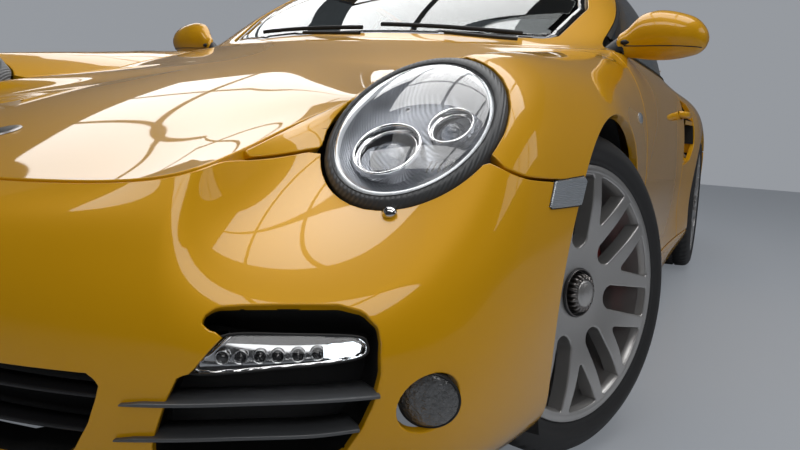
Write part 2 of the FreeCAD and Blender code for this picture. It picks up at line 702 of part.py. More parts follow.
def door_glass_solid(grow):
    def low(x):
        return 830 - grow

    def high(x):
        return between(SIDE_WINDOW_TOP, x) - gap
    xs = spread(size("door_rear_x") + 2 - grow, GLASS_FRONT_X + grow, 12)
    return glass_sheet(xs, low, high, 6, glass_depth - grow, size("glass_wall") + 2 * grow)


def side_window_cutter():
    points = [V(x, 430, z) for x, z in SIDE_WINDOW_TOP]
    points += [V(730, 430, 840), V(size("door_rear_x") - gap, 430, 840)]
    points += [V(x, 430, z) for x, z in QUARTER_GLASS_FOOT[::-1]]
    return prism(points, V(0, 600, 0))


# Edges of windscreen and rear window in plan, left half: x, y
WINDSCREEN = [(858, 0), (846, 200), (812, 400), (758, 560), (730, 592), (548, 628), (292, 556), (262, 530),
              (246, 300), (242, 0)]
REAR_WINDOW = [(-640, 0), (-640, 380), (-690, 425), (-1280, 385), (-1335, 340), (-1345, 0)]


def plan_cutter(outline, grow):
    half = [V(x + grow * (1 if x > centre_x(outline) else -1), y + (grow if y else 0), 500) for x, y in outline]
    return prism(half + [mirrored(p) for p in half[-2:0:-1]], V(0, 0, 900))


def centre_x(outline):
    xs = [x for x, y in outline]
    return (min(xs) + max(xs)) / 2


def roof_shell():
    """Cowl, windscreen pillars, roof and rear pillars in one frame."""
    shape = panel(top, (0.06, 9.3), 0.01, 8 - 0.01, 46, 22, 0, size("roof_wall"), (0.1, 0.05, 0.4, 0.4))
    door_head = box(size("door_rear_x") - gap, size("door_front_x") + gap, door_inner_y - gap, 1000, 700, 882)
    cutters = [plan_cutter(WINDSCREEN, 0), plan_cutter(REAR_WINDOW, 0)]
    wing = front_wing()
    wing_below = wing.copy()
    wing_below.translate(V(0, -fit, -fit))
    for cutter in (side_window_cutter(), door_head, wing, wing_below):
        cutters += [cutter, cutter.mirror(V(), V(0, 1, 0))]
    for cutter in cutters:
        shape = shape.cut(cutter)
    return max(shape.Solids, key=lambda solid: solid.Volume)


def fixed_glass():
    front = panel(top, (0.9, 4.2), 0.8, 8 - 0.8, 16, 16, glass_depth, size("glass_wall"))
    rear = panel(top, (5.8, 9.2), 0.8, 8 - 0.8, 14, 14, glass_depth, size("glass_wall"))
    panes = [front.common(plan_cutter(WINDSCREEN, -fit)), rear.common(plan_cutter(REAR_WINDOW, -fit))]
    xs = spread(-938, size("door_rear_x") - gap - 1, 8)
    side = glass_sheet(xs, lambda x: between(QUARTER_GLASS_FOOT, x) + fit,
                       lambda x: between(SIDE_WINDOW_TOP, x) - fit, 4, glass_depth, size("glass_wall"))
    panes += [side, side.mirror(V(), V(0, 1, 0))]
    return Part.makeCompound([solid for pane in panes for solid in pane.Solids])


def bonnet():
    def side_gap(s):
        return between([(0, 0.08), (4.6, 0.08), (6, 0.15)], s)
    return panel(bonnet_skin, (0.04, 5.94), side_gap, lambda s: 8 - side_gap(s), 24, 20, 0, size("lid_wall"),
                 (0.14, 0.2, 0.3, 0.3))


def engine_lid():
    shape = panel(top, (9.34, 11.95), 0.15, 8 - 0.15, 12, 16, 0, size("lid_wall"), (0.06, 0.15, 0.4, 0.4))
    for post in wing_posts(fit):
        shape = shape.cut(post)
    return shape


def wing_posts(grow):
    posts = []
    for y in (-size("wing_post_y"), size("wing_post_y")):
        posts.append(box(size("wing_x") - 170 - grow, size("wing_x") - 60 + grow, y - 20 - grow, y + 20 + grow,
                         size("wing_post_foot_z"), size("wing_z") + 6))
    return posts


def rear_wing():
    """Raised wing on two posts: a flat blade with a turned-up tail and rounded ends."""
    profile = [(0, 10), (-0.12, 0), (-0.6, 4), (-1, 30), (-1, 40), (-0.6, 30), (-0.15, 26), (-0.02, 18)]
    corners = [(total(0, ("wing_x", 1), ("wing_chord", share)), total(rise, ("wing_z", 1))) for share, rise in profile]
    body = new_body("rear_wing")
    pad(body, outline(body, "Blade", "XZ_Plane", [corners]), total(0, ("wing_half_span", 2)), True)
    front, rear = total(-60, ("wing_x", 1)), total(-170, ("wing_x", 1))
    feet = []
    for side in (-1, 1):
        near, far = total(-20, ("wing_post_y", side)), total(20, ("wing_post_y", side))
        feet.append([(rear, near), (front, near), (front, far), (rear, far)])
    posts = outline(body, "Posts", "XY_Plane", feet, total(0, ("wing_post_foot_z", 1)))
    pad(body, posts, total(6, ("wing_z", 1), ("wing_post_foot_z", -1)), False)
    return body


# Round parts are turned about +Y, the way out of the car on its left side
def turned(profile):
    """Ring or disc from (radius, y) points turned about the wheel axis."""
    points = [V(radius, y, 0) for radius, y in profile]
    return Part.Face(Part.makePolygon(points + [points[0]])).revolve(V(), V(0, 1, 0), 360)


def tyre(label, end):
    """Tyre of the front or rear axle, upright about the origin."""
    radius, width = end + "_tyre_radius", end + "_tyre_width"
    section = [("bead_radius", 0, 17), ("bead_radius", 13, 12), ("bead_radius", 26, 2), (radius, -45, 0),
               (radius, -14, 9), (radius, -3, 28), (radius, 0, 55)]
    outer = [(total(shift, (alias, 1)), total(-inset, (width, 0.5))) for alias, shift, inset in section]
    inner = [(total(shift, (alias, 1)), total(inset, (width, -0.5))) for alias, shift, inset in section[::-1]]
    return revolved_body(label, outer + inner)


def rim(radius_seat, width, offset_face, hub_back):
    """Barrel with two lips, hub and forked spokes whose face lies flush with the outer lip."""
    half = width / 2
    lip = size("flange_height")
    thick = size("rim_wall")
    seat = radius_seat - 0.3
    barrel = turned([(seat, -half + 14), (seat + lip, -half + 10), (seat + lip, -half + 4), (seat - thick, -half + 4),
                     (seat - thick, half - 4), (seat + lip, half - 4), (seat + lip, half - 10), (seat, half - 14)])
    hub = turned([(size("spindle_radius") + fit, hub_back), (size("hub_radius"), hub_back),
                  (size("hub_radius"), offset_face - 10), (size("hub_radius") - 14, offset_face), (0.01, offset_face),
                  (0.01, offset_face - 30), (size("spindle_radius") + fit, offset_face - 30)])
    shape = barrel.fuse(hub)
    depth, arm = size("spoke_depth"), size("spoke_width")
    fork, reach = 128, seat - thick + 3
    spread_angle = math.radians(15.5)
    count = int(size("spoke_count"))
    for k in range(count):
        turn = math.radians(166) + 2 * math.pi * k / count

        def place(r, a, across):
            direction = turn + a
            return V(r * math.cos(direction) - across * math.sin(direction), offset_face - depth,
                     r * math.sin(direction) + across * math.cos(direction))
        stem = [place(size("hub_radius") - 8, 0, -arm), place(fork, 0, -arm * 0.9), place(fork, 0, arm * 0.9),
                place(size("hub_radius") - 8, 0, arm)]
        shape = shape.fuse(prism(stem, V(0, depth, 0)))
        for side in (-1, 1):
            root, tip = place(fork - 12, 0, side * arm * 0.35), place(reach, side * spread_angle, 0)
            run = (tip - root).normalize()
            width_way = V(0, 1, 0).cross(run) * (arm / 2)
            arm_points = [root - width_way, tip - width_way, tip + width_way, root + width_way]
            shape = shape.fuse(prism(arm_points, V(0, depth, 0)))
    return shape.removeSplitter()


def brake_disc(label, end, back_terms):
    """Brake disc of the front or rear axle, upright about the origin."""
    hub, edge = total(1, ("hub_radius", 1)), total(0, (end + "_disc_radius", 1))
    back, face = total(*back_terms), total(*back_terms, ("disc_thickness", 1))
    return revolved_body(label, [(hub, back), (edge, back), (edge, face), (hub, face)])


def wheel_pose(side, front):
    """Placement of a wheel modelled about the origin with its outer face on +Y."""
    if front:
        centre = V(size("front_axle_x"), side * size("front_track") / 2, front_hub_z)
        camber = size("front_camber")
    else:
        centre = V(rear_axle_x, side * size("rear_track") / 2, rear_hub_z)
        camber = size("rear_camber")
    lean = FreeCAD.Rotation(V(1, 0, 0), side * camber)
    turn = lean if side > 0 else lean * FreeCAD.Rotation(V(0, 0, 1), 180)
    pose = FreeCAD.Placement(centre, turn)
    if front:
        pose = steer_pose(side).multiply(pose)
    return pose


def steering_axis():
    lean = math.radians(size("caster"))
    return V(-math.sin(lean), 0, math.cos(lean))


def steer_pose(side):
    """Turn of a front wheel about its leaning steering axis, from straight ahead to the parked angle."""
    pivot = V(size("front_axle_x"), side * size("kingpin_y"), front_hub_z)
    rotation = FreeCAD.Rotation(steering_axis(), -size("rest_steer"))
    return FreeCAD.Placement(V(), rotation, pivot)


def placed(shape, pose):
    result = shape.copy()
    result.Placement = pose.multiply(result.Placement)
    return result


def drop_to_floor(side, front):
    """How far a wheel has to move down for its tyre to touch the floor."""
    label = "tyre_%s_%s" % ("front" if front else "rear", "left" if side > 0 else "right")
    return DROPS[label]


def lowered(pose, drop):
    return FreeCAD.Placement(V(0, 0, -drop), FreeCAD.Rotation()).multiply(pose)


def knuckle(side):
    """Steered hub carrier: upright, stub axle, strut foot and brake caliper, modelled straight ahead."""
    y0 = size("kingpin_y")
    axle_y = size("front_track") / 2
    x0 = size("front_axle_x")
    axis = steering_axis()
    foot = V(x0, y0, front_hub_z) - axis * 90
    upright = Part.makeCylinder(12, 175, foot, axis)
    carrier = box(x0 - 55, x0 + 55, y0 - 42, y0 - 4, front_hub_z - 65, front_hub_z + 75)
    spindle = Part.makeCylinder(size("spindle_radius"), axle_y - y0 + 70, V(x0, y0 - 10, front_hub_z), V(0, 1, 0))
    spindle = spindle.fuse(caliper(x0, front_hub_z, y0 + 6, size("front_disc_radius"), 1))
    spindle.rotate(V(x0, axle_y, front_hub_z), V(1, 0, 0), size("front_camber"))
    strut = Part.makeCylinder(23, 330, V(x0 + 10, y0 - 100, front_hub_z - 20), axis)
    link = box(x0 - 30, x0 + 40, y0 - 112, y0 - 20, front_hub_z - 20, front_hub_z + 40)
    return upright.fuse(carrier).fuse(spindle).fuse(strut).fuse(link).removeSplitter()


def caliper(x0, z0, disc_back, disc_radius, way):
    """Brake caliper behind the axle, straddling the disc with a gap, carried from the hub carrier's side."""
    clear = 6
    back = disc_back + 12
    outer = turned([(disc_radius - 65, back - 26), (disc_radius + 26, back - 26),
                    (disc_radius + 26, back + size("disc_thickness") + 22),
                    (disc_radius - 65, back + size("disc_thickness") + 22)])
    slot = turned([(disc_radius - 70, back - clear), (disc_radius + clear, back - clear),
                   (disc_radius + clear, back + size("disc_thickness") + clear),
                   (disc_radius - 70, back + size("disc_thickness") + clear)])
    wedge = prism([V(0, back - 60, 0), V(-400 * way, back - 60, 190), V(-400 * way, back - 60, -130)], V(0, 160, 0))
    body = outer.cut(slot).common(wedge)
    arm = box(min(-130 * way, -50 * way), max(-130 * way, -50 * way), back - 40, back - 20, -40, 50)
    body = body.fuse(arm)
    body.translate(V(x0, 0, z0))
    return body


def front_geometry(side):
    """Knuckle and rim of one front corner, set at the parked steering angle on the floor."""
    drop = drop_to_floor(side, True)
    turn = lowered(steer_pose(side), drop)
    upright = knuckle(1)
    if side < 0:
        upright = upright.mirror(V(), V(0, 1, 0))
    wheel = lowered(wheel_pose(side, True), drop)
    width = size("front_tyre_width")
    disc_back = size("kingpin_y") + 18 - size("front_track") / 2
    return {
        "knuckle": placed(upright, turn),
        "rim_front": placed(rim(size("bead_radius"), width, width / 2, disc_back - 4), wheel),
    }


def rear_geometry(side):
    drop = drop_to_floor(side, False)
    wheel = lowered(wheel_pose(side, False), drop)
    width = size("rear_tyre_width")
    disc_back = REAR_DISC_Y - size("rear_track") / 2
    return {
        "rim_rear": placed(rim(size("bead_radius"), width, width / 2 - 2, disc_back - 4), wheel),
    }


REAR_DISC_Y = 712


def suspension():
    """Front subframe with lower arms and steering pins, rear links with hub carriers and stub axles."""
    x0, y0 = size("front_axle_x"), size("kingpin_y")
    axis = steering_axis()
    front = box(x0 - 90, x0 + 100, -425, 425, 180, size("rail_z") - fit)
    for side in (-1, 1):
        pin_foot = V(x0, side * y0, front_hub_z - drop_to_floor(side, True)) - axis * (90 + fit)
        pin_x = pin_foot.x + 8
        outline = [(x0 - 70, 400), (x0 + 95, 400), (pin_x + 32, y0 - 18), (pin_x + 13, y0 + 9), (pin_x - 13, y0 + 9),
                   (pin_x - 32, y0 - 18)]
        arm = prism([V(x, side * y, 180) for x, y in outline], V(0, 0, 22))
        pin = Part.makeCylinder(12, 60, pin_foot, axis * -1).common(box(x0 - 200, x0 + 200, -900, 900, 182, 400))
        front = front.fuse(arm).fuse(pin)
    solids = [front.removeSplitter()]
    for side in (-1, 1):
        wheel = lowered(wheel_pose(side, False), drop_to_floor(side, False))
        inboard = REAR_DISC_Y - size("rear_track") / 2
        spindle = Part.makeCylinder(size("spindle_radius"), 170, V(0, inboard - 60, 0), V(0, 1, 0))
        carrier = box(-60, 60, inboard - 75, inboard - 12, -75, 85)
        hub = placed(spindle.fuse(carrier).fuse(caliper(0, 0, inboard - 12, size("rear_disc_radius"), 1)), wheel)
        reach = REAR_DISC_Y - 60
        for z in (235, 385):
            y_low, y_high = sorted((side * (size("gearbox_width") / 2 + fit), side * reach))
            hub = hub.fuse(box(rear_axle_x - 25, rear_axle_x + 25, y_low, y_high, z, z + 34))
        solids.append(hub.removeSplitter())
    return Part.makeCompound(solids)


def floor_pan():
    """Floor, tunnel, both bulkheads and the front rails with their cross beam, as one welded structure."""
    underside, top_face = total(0, ("floor_z", 1)), total(0, ("floor_z", 1), ("floor_wall", 1))
    overlap = total(-5, ("floor_z", 1), ("floor_wall", 1))
    front, rear = ("front_bulkhead_x", 1), ("rear_bulkhead_x", 1)
    thick, back_thick = ("bulkhead_wall", 1), ("bulkhead_wall", -1)
    low, high = total(0, ("rail_z", 1)), total(0, ("rail_z", 1), ("rail_height", 1))
    pieces = [
        bound_box("FloorPlate", (total(0, rear, back_thick), total(0, front, thick)),
                  (total(0, ("floor_half_width", -1)), total(0, ("floor_half_width", 1))), (underside, top_face)),
        bound_box("Tunnel", (total(0, rear), total(0, front)),
                  (total(0, ("tunnel_half_width", -1)), total(0, ("tunnel_half_width", 1))), (overlap, total(380))),
        bound_box("FrontBulkhead", (total(0, front), total(0, front, thick)), (total(-700), total(700)),
                  (overlap, total(800))),
        bound_box("RearBulkhead", (total(0, rear, back_thick), total(0, rear)), (total(-600), total(600)),
                  (overlap, total(840))),
        bound_box("LeftRail", (total(-5, front, thick), total(2010)), (total(330), total(415)), (low, high)),
        bound_box("RightRail", (total(-5, front, thick), total(2010)), (total(-415), total(-330)), (low, high)),
        bound_box("CrossBeam", (total(1960), total(2010)), (total(-480), total(480)), (low, high)),
    ]
    item = joined("Part::MultiFuse", "floor_pan", pieces)
    item.Refine = True
    return item


def luggage_tub():
    """Open box under the bonnet, its rim below the bonnet's inner side."""
    rear = total(0, ("front_bulkhead_x", 1), ("bulkhead_wall", 1), ("fit_gap", 1))
    rear_inside = total(0, ("front_bulkhead_x", 1), ("bulkhead_wall", 1), ("fit_gap", 1), ("tub_wall", 1))
    front_inside = total(1890, ("tub_wall", -1))
    base = total(0, ("rail_z", 1), ("rail_height", 1), ("fit_gap", 1))
    bottom = total(0, ("rail_z", 1), ("rail_height", 1), ("fit_gap", 1), ("tub_wall", 1))
    rim_line = plain([(1890, 540), (1500, 662), (1000, 790)])
    body = new_body("luggage_tub")
    side_view = [(rear, base), (total(1890), base)] + rim_line + [(rear, total(795))]
    pad(body, outline(body, "Outside", "XZ_Plane", [side_view]), total(0, ("tub_half_width", 2)), True)
    inside_view = [(rear_inside, bottom), (front_inside, bottom), (front_inside, total(900)),
                   (rear_inside, total(900))]
    pocket = body.newObject("PartDesign::Pocket", "Inside")
    pocket.Profile = outline(body, "InsideView", "XZ_Plane", [inside_view])
    pocket.SideType = "Symmetric"
    bind(pocket, Length=total(0, ("tub_half_width", 2), ("tub_wall", -2)))
    return body


def engine_block():
    """Plain block of the rear engine with its gearbox running forward to the bulkhead."""
    front = total(0, ("rear_bulkhead_x", 1), ("bulkhead_wall", -1), ("fit_gap", -1))
    engine = bound_box("Engine", (total(-1290, ("engine_length", -1)), total(-1290)),
                       (total(0, ("engine_width", -0.5)), total(0, ("engine_width", 0.5))),
                       (total(210), total(210, ("engine_height", 1))))
    gearbox = bound_box("Gearbox", (total(-1295), front),
                        (total(0, ("gearbox_width", -0.5)), total(0, ("gearbox_width", 0.5))),
                        (total(205), total(450)))
    item = joined("Part::MultiFuse", "engine_block", [engine, gearbox])
    item.Refine = True
    return item


def exhaust_tips():
    """Two silencers, each with two open tail pipes through the rear bumper."""
    forward = FreeCAD.Rotation(V(0, 1, 0), 90)
    radius, bore_radius = total(0, ("exhaust_radius", 1)), total(0, ("exhaust_radius", 1), ("pipe_wall", -1))
    halves = []
    for side, name in ((1, "Left"), (-1, "Right")):
        ends = [total(0, ("engine_width", side / 2), ("fit_gap", side)), total(side * 650)]
        silencer = bound_box("Silencer" + name, (total(-1960), total(-1860)), ends[::side], (total(215), total(330)))
        pipes = [bound_cylinder("Pipe" + name, radius, total(220), (total(-2175), total(side * y), total(EXHAUST_Z)),
                                forward) for y in EXHAUST_Y]
        bores = [bound_cylinder("Bore" + name, bore_radius, total(150),
                                (total(-2176), total(side * y), total(EXHAUST_Z)), forward) for y in EXHAUST_Y]
        solid = joined("Part::MultiFuse", "Pipes" + name, [silencer] + pipes)
        halves.append(cut_away("Half" + name, solid, joined("Part::MultiFuse", "Bores" + name, bores)))
    return joined("Part::Compound", "exhaust_tips", halves)


def dashboard():
    """Dashboard from pillar to pillar, its front against the bulkhead."""
    front = total(0, ("front_bulkhead_x", 1), ("fit_gap", -1))
    corners = plain([(430, 650), (430, 835), (520, 858), (640, 840), (760, 805)])
    corners += [(front, total(770)), (front, total(560)), (total(520), total(560))]
    body = new_body("dashboard")
    pad(body, outline(body, "SideView", "XZ_Plane", [corners]), total(0, ("dashboard_width", 1)), True)
    return body


def steering_wheel():
    """Rim, three spokes and column of the steering wheel, on the dashboard's left."""
    lean = FreeCAD.Rotation(V(0, 1, 0), -66)
    axis = lean.multVec(V(0, 0, 1))
    place = (total(0, ("wheel_x", 1)), total(0, ("seat_y", 1)), total(0, ("wheel_height", 1)))

    def behind(distance):
        """Point on the wheel's axis, a distance ahead of its middle."""
        return (total(-axis.x * distance, ("wheel_x", 1)), place[1], total(-axis.z * distance, ("wheel_height", 1)))
    ring = doc.addObject("Part::Torus", "WheelRim")
    ring.Placement = FreeCAD.Placement(V(), lean)
    bind(ring, Radius1=total(0, ("steering_wheel_radius", 1)), Radius2=total(0, ("wheel_rim_section", 1)),
         Placement_Base_x=place[0], Placement_Base_y=place[1], Placement_Base_z=place[2])
    pieces = [ring, bound_cylinder("WheelHub", total(55), total(40), behind(30), lean),
              bound_cylinder("Column", total(30), total(125), behind(150), lean)]
    for name, way in (("LeftSpoke", V(0, 1, 0)), ("RightSpoke", V(0, -1, 0)), ("LowerSpoke", axis.cross(V(0, 1, 0)))):
        way = way * -1 if way.z > 0 else way
        pieces.append(bound_cylinder(name, total(11), total(0, ("steering_wheel_radius", 1)), behind(8),
                                     FreeCAD.Rotation(V(0, 0, 1), way)))
    dash = bound_box("DashboardRoom", (total(430, ("fit_gap", -1)), total(900)), (total(-700), total(700)),
                     (total(500), total(900)))
    return cut_away("steering_wheel", joined("Part::MultiFuse", "WheelAndColumn", pieces), dash)


def seats():
    """Two front seats and two small rear seats standing on the floor."""
    base = total(0, ("floor_z", 1), ("floor_wall", 1), ("fit_gap", 1))
    side_view = [(total(390), base)]
    side_view += plain([(400, 350), (370, 385), (-10, 350), (-170, 900), (-235, 1085), (-310, 1080), (-290, 900),
                        (-170, 300)])
    side_view.append((total(-120), base))
    rear_face = total(0, ("rear_bulkhead_x", 1), ("fit_gap", 1))
    rear_view = [(total(-400), base)] + plain([(-400, 400), (-560, 380), (-600, 780)])
    rear_view += [(rear_face, total(800)), (rear_face, base)]
    bodies = []
    for side, name in ((1, "Left"), (-1, "Right")):
        for label, view, width in (("FrontSeat", side_view, "seat_width"), ("RearSeat", rear_view, "rear_seat_width")):
            body = new_body(label + name)
            pad(body, outline(body, "SideView", "XZ_Plane", [view]), total(0, (width, 1)), True)
            bind(body, Placement_Base_y=total(0, ("seat_y", side)))
            bodies.append(body)
    return joined("Part::Compound", "seats", bodies)


def headlamp():
    """Housing and domed lens in one body, seated in the wing and bumper."""
    rings = []
    for depth, share in ((-size("lamp_depth"), 0.8), (0, 1.0), (14, 0.93), (25, 0.75), (31, 0.45)):
        rings.append(oval(lamp_centre + lamp_normal * depth, size("lamp_half_width") * share,
                          size("lamp_half_length") * share, lamp_normal))
    count = len(rings[0])
    points = [p for ring in rings for p in ring]
    points += [lamp_centre + lamp_normal * size("lamp_dome"), lamp_centre - lamp_normal * size("lamp_depth")]
    triangles = []
    for level in range(len(rings) - 1):
        for k in range(count):
            a, b = level * count + k, level * count + (k + 1) % count
            triangles += [(a, b, b + count), (a, b + count, a + count)]
    last = (len(rings) - 1) * count
    for k in range(count):
        triangles += [(last + k, last + (k + 1) % count, len(points) - 2), ((k + 1) % count, k, len(points) - 1)]
    return both_sides(solid_from(points, triangles))


def front_lamps():
    """Daytime lamps in the outer intakes, round lamps below, and the side markers."""
    daytime = panel(band, (2.6, 3.32), 3.02, 3.42, 6, 2, 14, wall - 14)
    marker = panel(band, (5.12, 5.88), 4.45, 4.85, 4, 2, -4.4, 3)
    marker = marker.cut(front_arch)
    foot = fog_cylinder(0, 14, wall - 14)
    solids = [shape for part in (daytime, marker, foot) for shape in part.Solids]
    return Part.makeCompound(solids + [shape.mirror(V(), V(0, 1, 0)) for shape in solids])


def intake_slats():
    """Dark backing of the intakes with two slats in each outer one and three bars in the middle."""
    backing = panel(band, (2.1, 3.72), 0.7, 4.3, 8, 5, wall + 3 * fit, 18)
    solids = [backing]
    for t_low, t_high, s_high in ((1.42, 1.62, 3.2), (1.98, 2.18, 3.26)):
        slat = panel(band, (2.38, s_high), t_low, t_high, 6, 1, 6, wall - 6 + 3 * fit + 4)
        solids[0] = solids[0].fuse(slat)
    solids = [solids[0], solids[0].mirror(V(), V(0, 1, 0))]
    middle = panel(band, (-1.9, 1.9), 0.7, 3.3, 12, 4, wall + 3 * fit, 18)
    for t_low in (1.3, 1.9, 2.5):
        middle = middle.fuse(panel(band, (-1.55, 1.55), t_low, t_low + 0.08, 10, 1, wall - 12, 12 + 3 * fit + 4))
    bumper = front_bumper()
    bumper_inside = bumper.copy()
    bumper_inside.translate(V(-fit, 0, 0))
    return Part.makeCompound([solid for part in solids + [middle]
                              for solid in part.cut(bumper).cut(bumper_inside).Solids if solid.Volume > 1000])


def tail_lamps():
    return both_sides(panel(band, (LAMP_START + 0.02, LAMP_END - 0.02), LAMP_FOOT + seam_half, LAMP_HEAD - seam_half,
                            10, 4, 0, wall, (0.02, 0.02, 0.02, 0.02)))


def wipers():
    """Two wiper arms parked at the foot of the windscreen."""
    solids = []
    for t_start, t_end in ((2.4, 3.7), (3.95, 5.2)):
        grid = [[(1.14 + 0.05 * k / 6 + 0.02 * j, t_start + (t_end - t_start) * k / 6) for j in (0, 2)]
                for k in range(7)]
        solids.append(plate(offset_points(top, grid, -8), offset_points(top, grid, glass_depth - 0.8)))
    return Part.makeCompound(solids)


def mirror_unit():
    """Door mirror: shell on an arm from the door's front upper corner."""
    stations = [(772, 28, 34, 662, 908), (805, 40, 52, 655, 927), (838, 52, 62, 645, 930), (903, 60, 58, 638, 930),
                (955, 46, 40, 628, 927), (976, 20, 15, 622, 925)]
    count = 16
    points = []
    for y, half_x, half_z, x0, z0 in stations:
        for k in range(count):
            turn = 2 * math.pi * k / count
            points.append(V(x0 + half_x * math.cos(turn), y, z0 + half_z * math.sin(turn)))
    points += [V(stations[0][3], stations[0][0], stations[0][4]), V(stations[-1][3], stations[-1][0], stations[-1][4])]
    triangles = []
    for level in range(len(stations) - 1):
        for k in range(count):
            a, b = level * count + k, level * count + (k + 1) % count
            triangles += [(a, b, b + count), (a, b + count, a + count)]
    last = (len(stations) - 1) * count
    for k in range(count):
        triangles += [((k + 1) % count, k, len(points) - 2), (last + k, last + (k + 1) % count, len(points) - 1)]
    shell = solid_from(points, triangles)
    arm = prism([V(655, 732, 892), V(705, 732, 892), V(675, 800, 905), V(645, 800, 905)], V(0, 0, 14))
    foot = box(655, 705, 732, 748, band.at(station(680), 7 - 0.05).z + fit + 0.4, 904)
    return shell.fuse(arm).fuse(foot)


# Sub-parts of the body shell
LEFT_AND_RIGHT = [("fender", front_wing), ("quarter", quarter), ("door", door),
                  ("door_glass", lambda: door_glass_solid(0)), ("mirror", mirror_unit)]
SINGLE = [("front_bumper", front_bumper), ("rear_bumper", rear_bumper), ("sills", sill),
          ("roof_shell", roof_shell), ("fixed_glass", fixed_glass), ("bonnet", bonnet), ("engine_lid", engine_lid),
          ("headlamps", headlamp), ("front_lamps", front_lamps), ("tail_lamps", tail_lamps),
          ("intake_slats", intake_slats), ("wipers", wipers), ("suspension", suspension)]
# Sub-parts made of the document's own features, bound to the sheet
FEATURED = [floor_pan, engine_block, luggage_tub, dashboard, seats, steering_wheel, exhaust_tips, rear_wing]

for make in FEATURED:
    PARTS.append(make())
DROPS = {}
for side_name, side in (("left", 1), ("right", -1)):
    for end, back_terms in (("front", (18, ("kingpin_y", 1), ("front_track", -0.5))),
                            ("rear", (REAR_DISC_Y, ("rear_track", -0.5)))):
        turning = [tyre("tyre_%s_%s" % (end, side_name), end),
                   brake_disc("brake_disc_%s_%s" % (end, side_name), end, back_terms)]
        pose = wheel_pose(side, end == "front")
        turning[0].Placement = pose
        doc.recompute()
        drop = turning[0].Shape.BoundBox.ZMin
        DROPS[turning[0].Label] = drop
        for body in turning:
            body.Placement = lowered(pose, drop)
        PARTS.extend(turning)

for label, make in SINGLE:
    keep(label, make())
for label, make in LEFT_AND_RIGHT:
    shape = make()
    keep(label + "_left", shape)
    keep(label + "_right", shape.mirror(V(), V(0, 1, 0)))
for side_name, side in (("left", 1), ("right", -1)):
    for geometry in (front_geometry(side), rear_geometry(side)):
        for label, shape in geometry.items():
            keep(label + "_" + side_name, shape)

doc.recompute()
os.makedirs("parts", exist_ok=True)
for item in doc.Objects:
    if "Invalid" in item.State or "Error" in item.State:
        raise SystemExit("failed feature: " + item.Label)
for item in PARTS:
    shape = item.Shape
    if shape.isNull() or not shape.isValid() or not shape.Solids:
        raise SystemExit("bad shape: " + item.Label)
    shape.exportStep("parts/" + item.Label + ".step")
    print(item.Label, len(shape.Solids), "solids", round(shape.Volume / 1e9, 5), "m3")
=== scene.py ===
import bpy, math
import numpy as np
from mathutils import Matrix, Vector


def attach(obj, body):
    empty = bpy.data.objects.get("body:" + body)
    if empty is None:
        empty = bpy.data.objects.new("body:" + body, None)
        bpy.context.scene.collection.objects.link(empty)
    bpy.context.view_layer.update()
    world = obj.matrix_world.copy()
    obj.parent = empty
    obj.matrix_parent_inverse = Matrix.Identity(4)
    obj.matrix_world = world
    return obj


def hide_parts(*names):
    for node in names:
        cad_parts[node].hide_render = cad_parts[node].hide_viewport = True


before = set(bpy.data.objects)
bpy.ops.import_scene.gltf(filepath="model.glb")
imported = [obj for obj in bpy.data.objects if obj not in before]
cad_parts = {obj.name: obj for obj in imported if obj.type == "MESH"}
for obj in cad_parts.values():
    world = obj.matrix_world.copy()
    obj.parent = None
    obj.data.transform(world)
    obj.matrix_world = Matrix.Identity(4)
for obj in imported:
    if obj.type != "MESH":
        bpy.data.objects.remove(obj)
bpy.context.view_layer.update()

tau = 2 * math.pi


def arr(*values):
    return np.array(values, float)


def unit(v):
    return v / np.maximum(np.linalg.norm(v, axis=-1, keepdims=True), 1e-12)


def mirrorY(points):
    return np.asarray(points) * arr(1, -1, 1)


def addPiece(name, body, slot, points, faces, material, normals=None, smooth=True, replaces=()):
    # one mesh object at the origin, riding on a body and standing for the CAD nodes it replaces
    mesh = bpy.data.meshes.new(name)
    mesh.from_pydata(np.asarray(points, float).reshape(-1, 3).tolist(), [], [list(map(int, f)) for f in faces])
    mesh.materials.append(material)
    mesh.polygons.foreach_set("use_smooth", np.full(len(mesh.polygons), smooth))
    mesh.update()
    if normals is not None:
        mesh.normals_split_custom_set_from_vertices(np.asarray(normals, float).reshape(-1, 3).tolist())
    piece = bpy.data.objects.new(name, mesh)
    bpy.context.scene.collection.objects.link(piece)
    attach(piece, body)
    if replaces:
        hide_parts(*replaces)
    return piece


def thicken(piece, thickness):
    # gives an open sheet a wall on its inner side
    wall = piece.modifiers.new("wall", "SOLIDIFY")
    wall.thickness, wall.offset = thickness, -1


def flipped(faces):
    return [tuple(face)[::-1] for face in faces]


def gridFaces(rows, columns, closedRows=False, closedColumns=False):
    # quads of a grid stored row by row; a closed direction joins its last line to its first
    i, j = np.meshgrid(np.arange(rows if closedRows else rows - 1),
                       np.arange(columns if closedColumns else columns - 1), indexing="ij")
    i2, j2 = (i + 1) % rows, (j + 1) % columns
    quads = np.stack([i * columns + j, i2 * columns + j, i2 * columns + j2, i * columns + j2], -1)
    return quads.reshape(-1, 4)


def lines(s0, s1, countS, t0, t1, countT):
    # the two families of lines of a grid on a sheet
    return np.linspace(s0, s1, countS)[:, None], np.linspace(t0, t1, countT)[None, :]


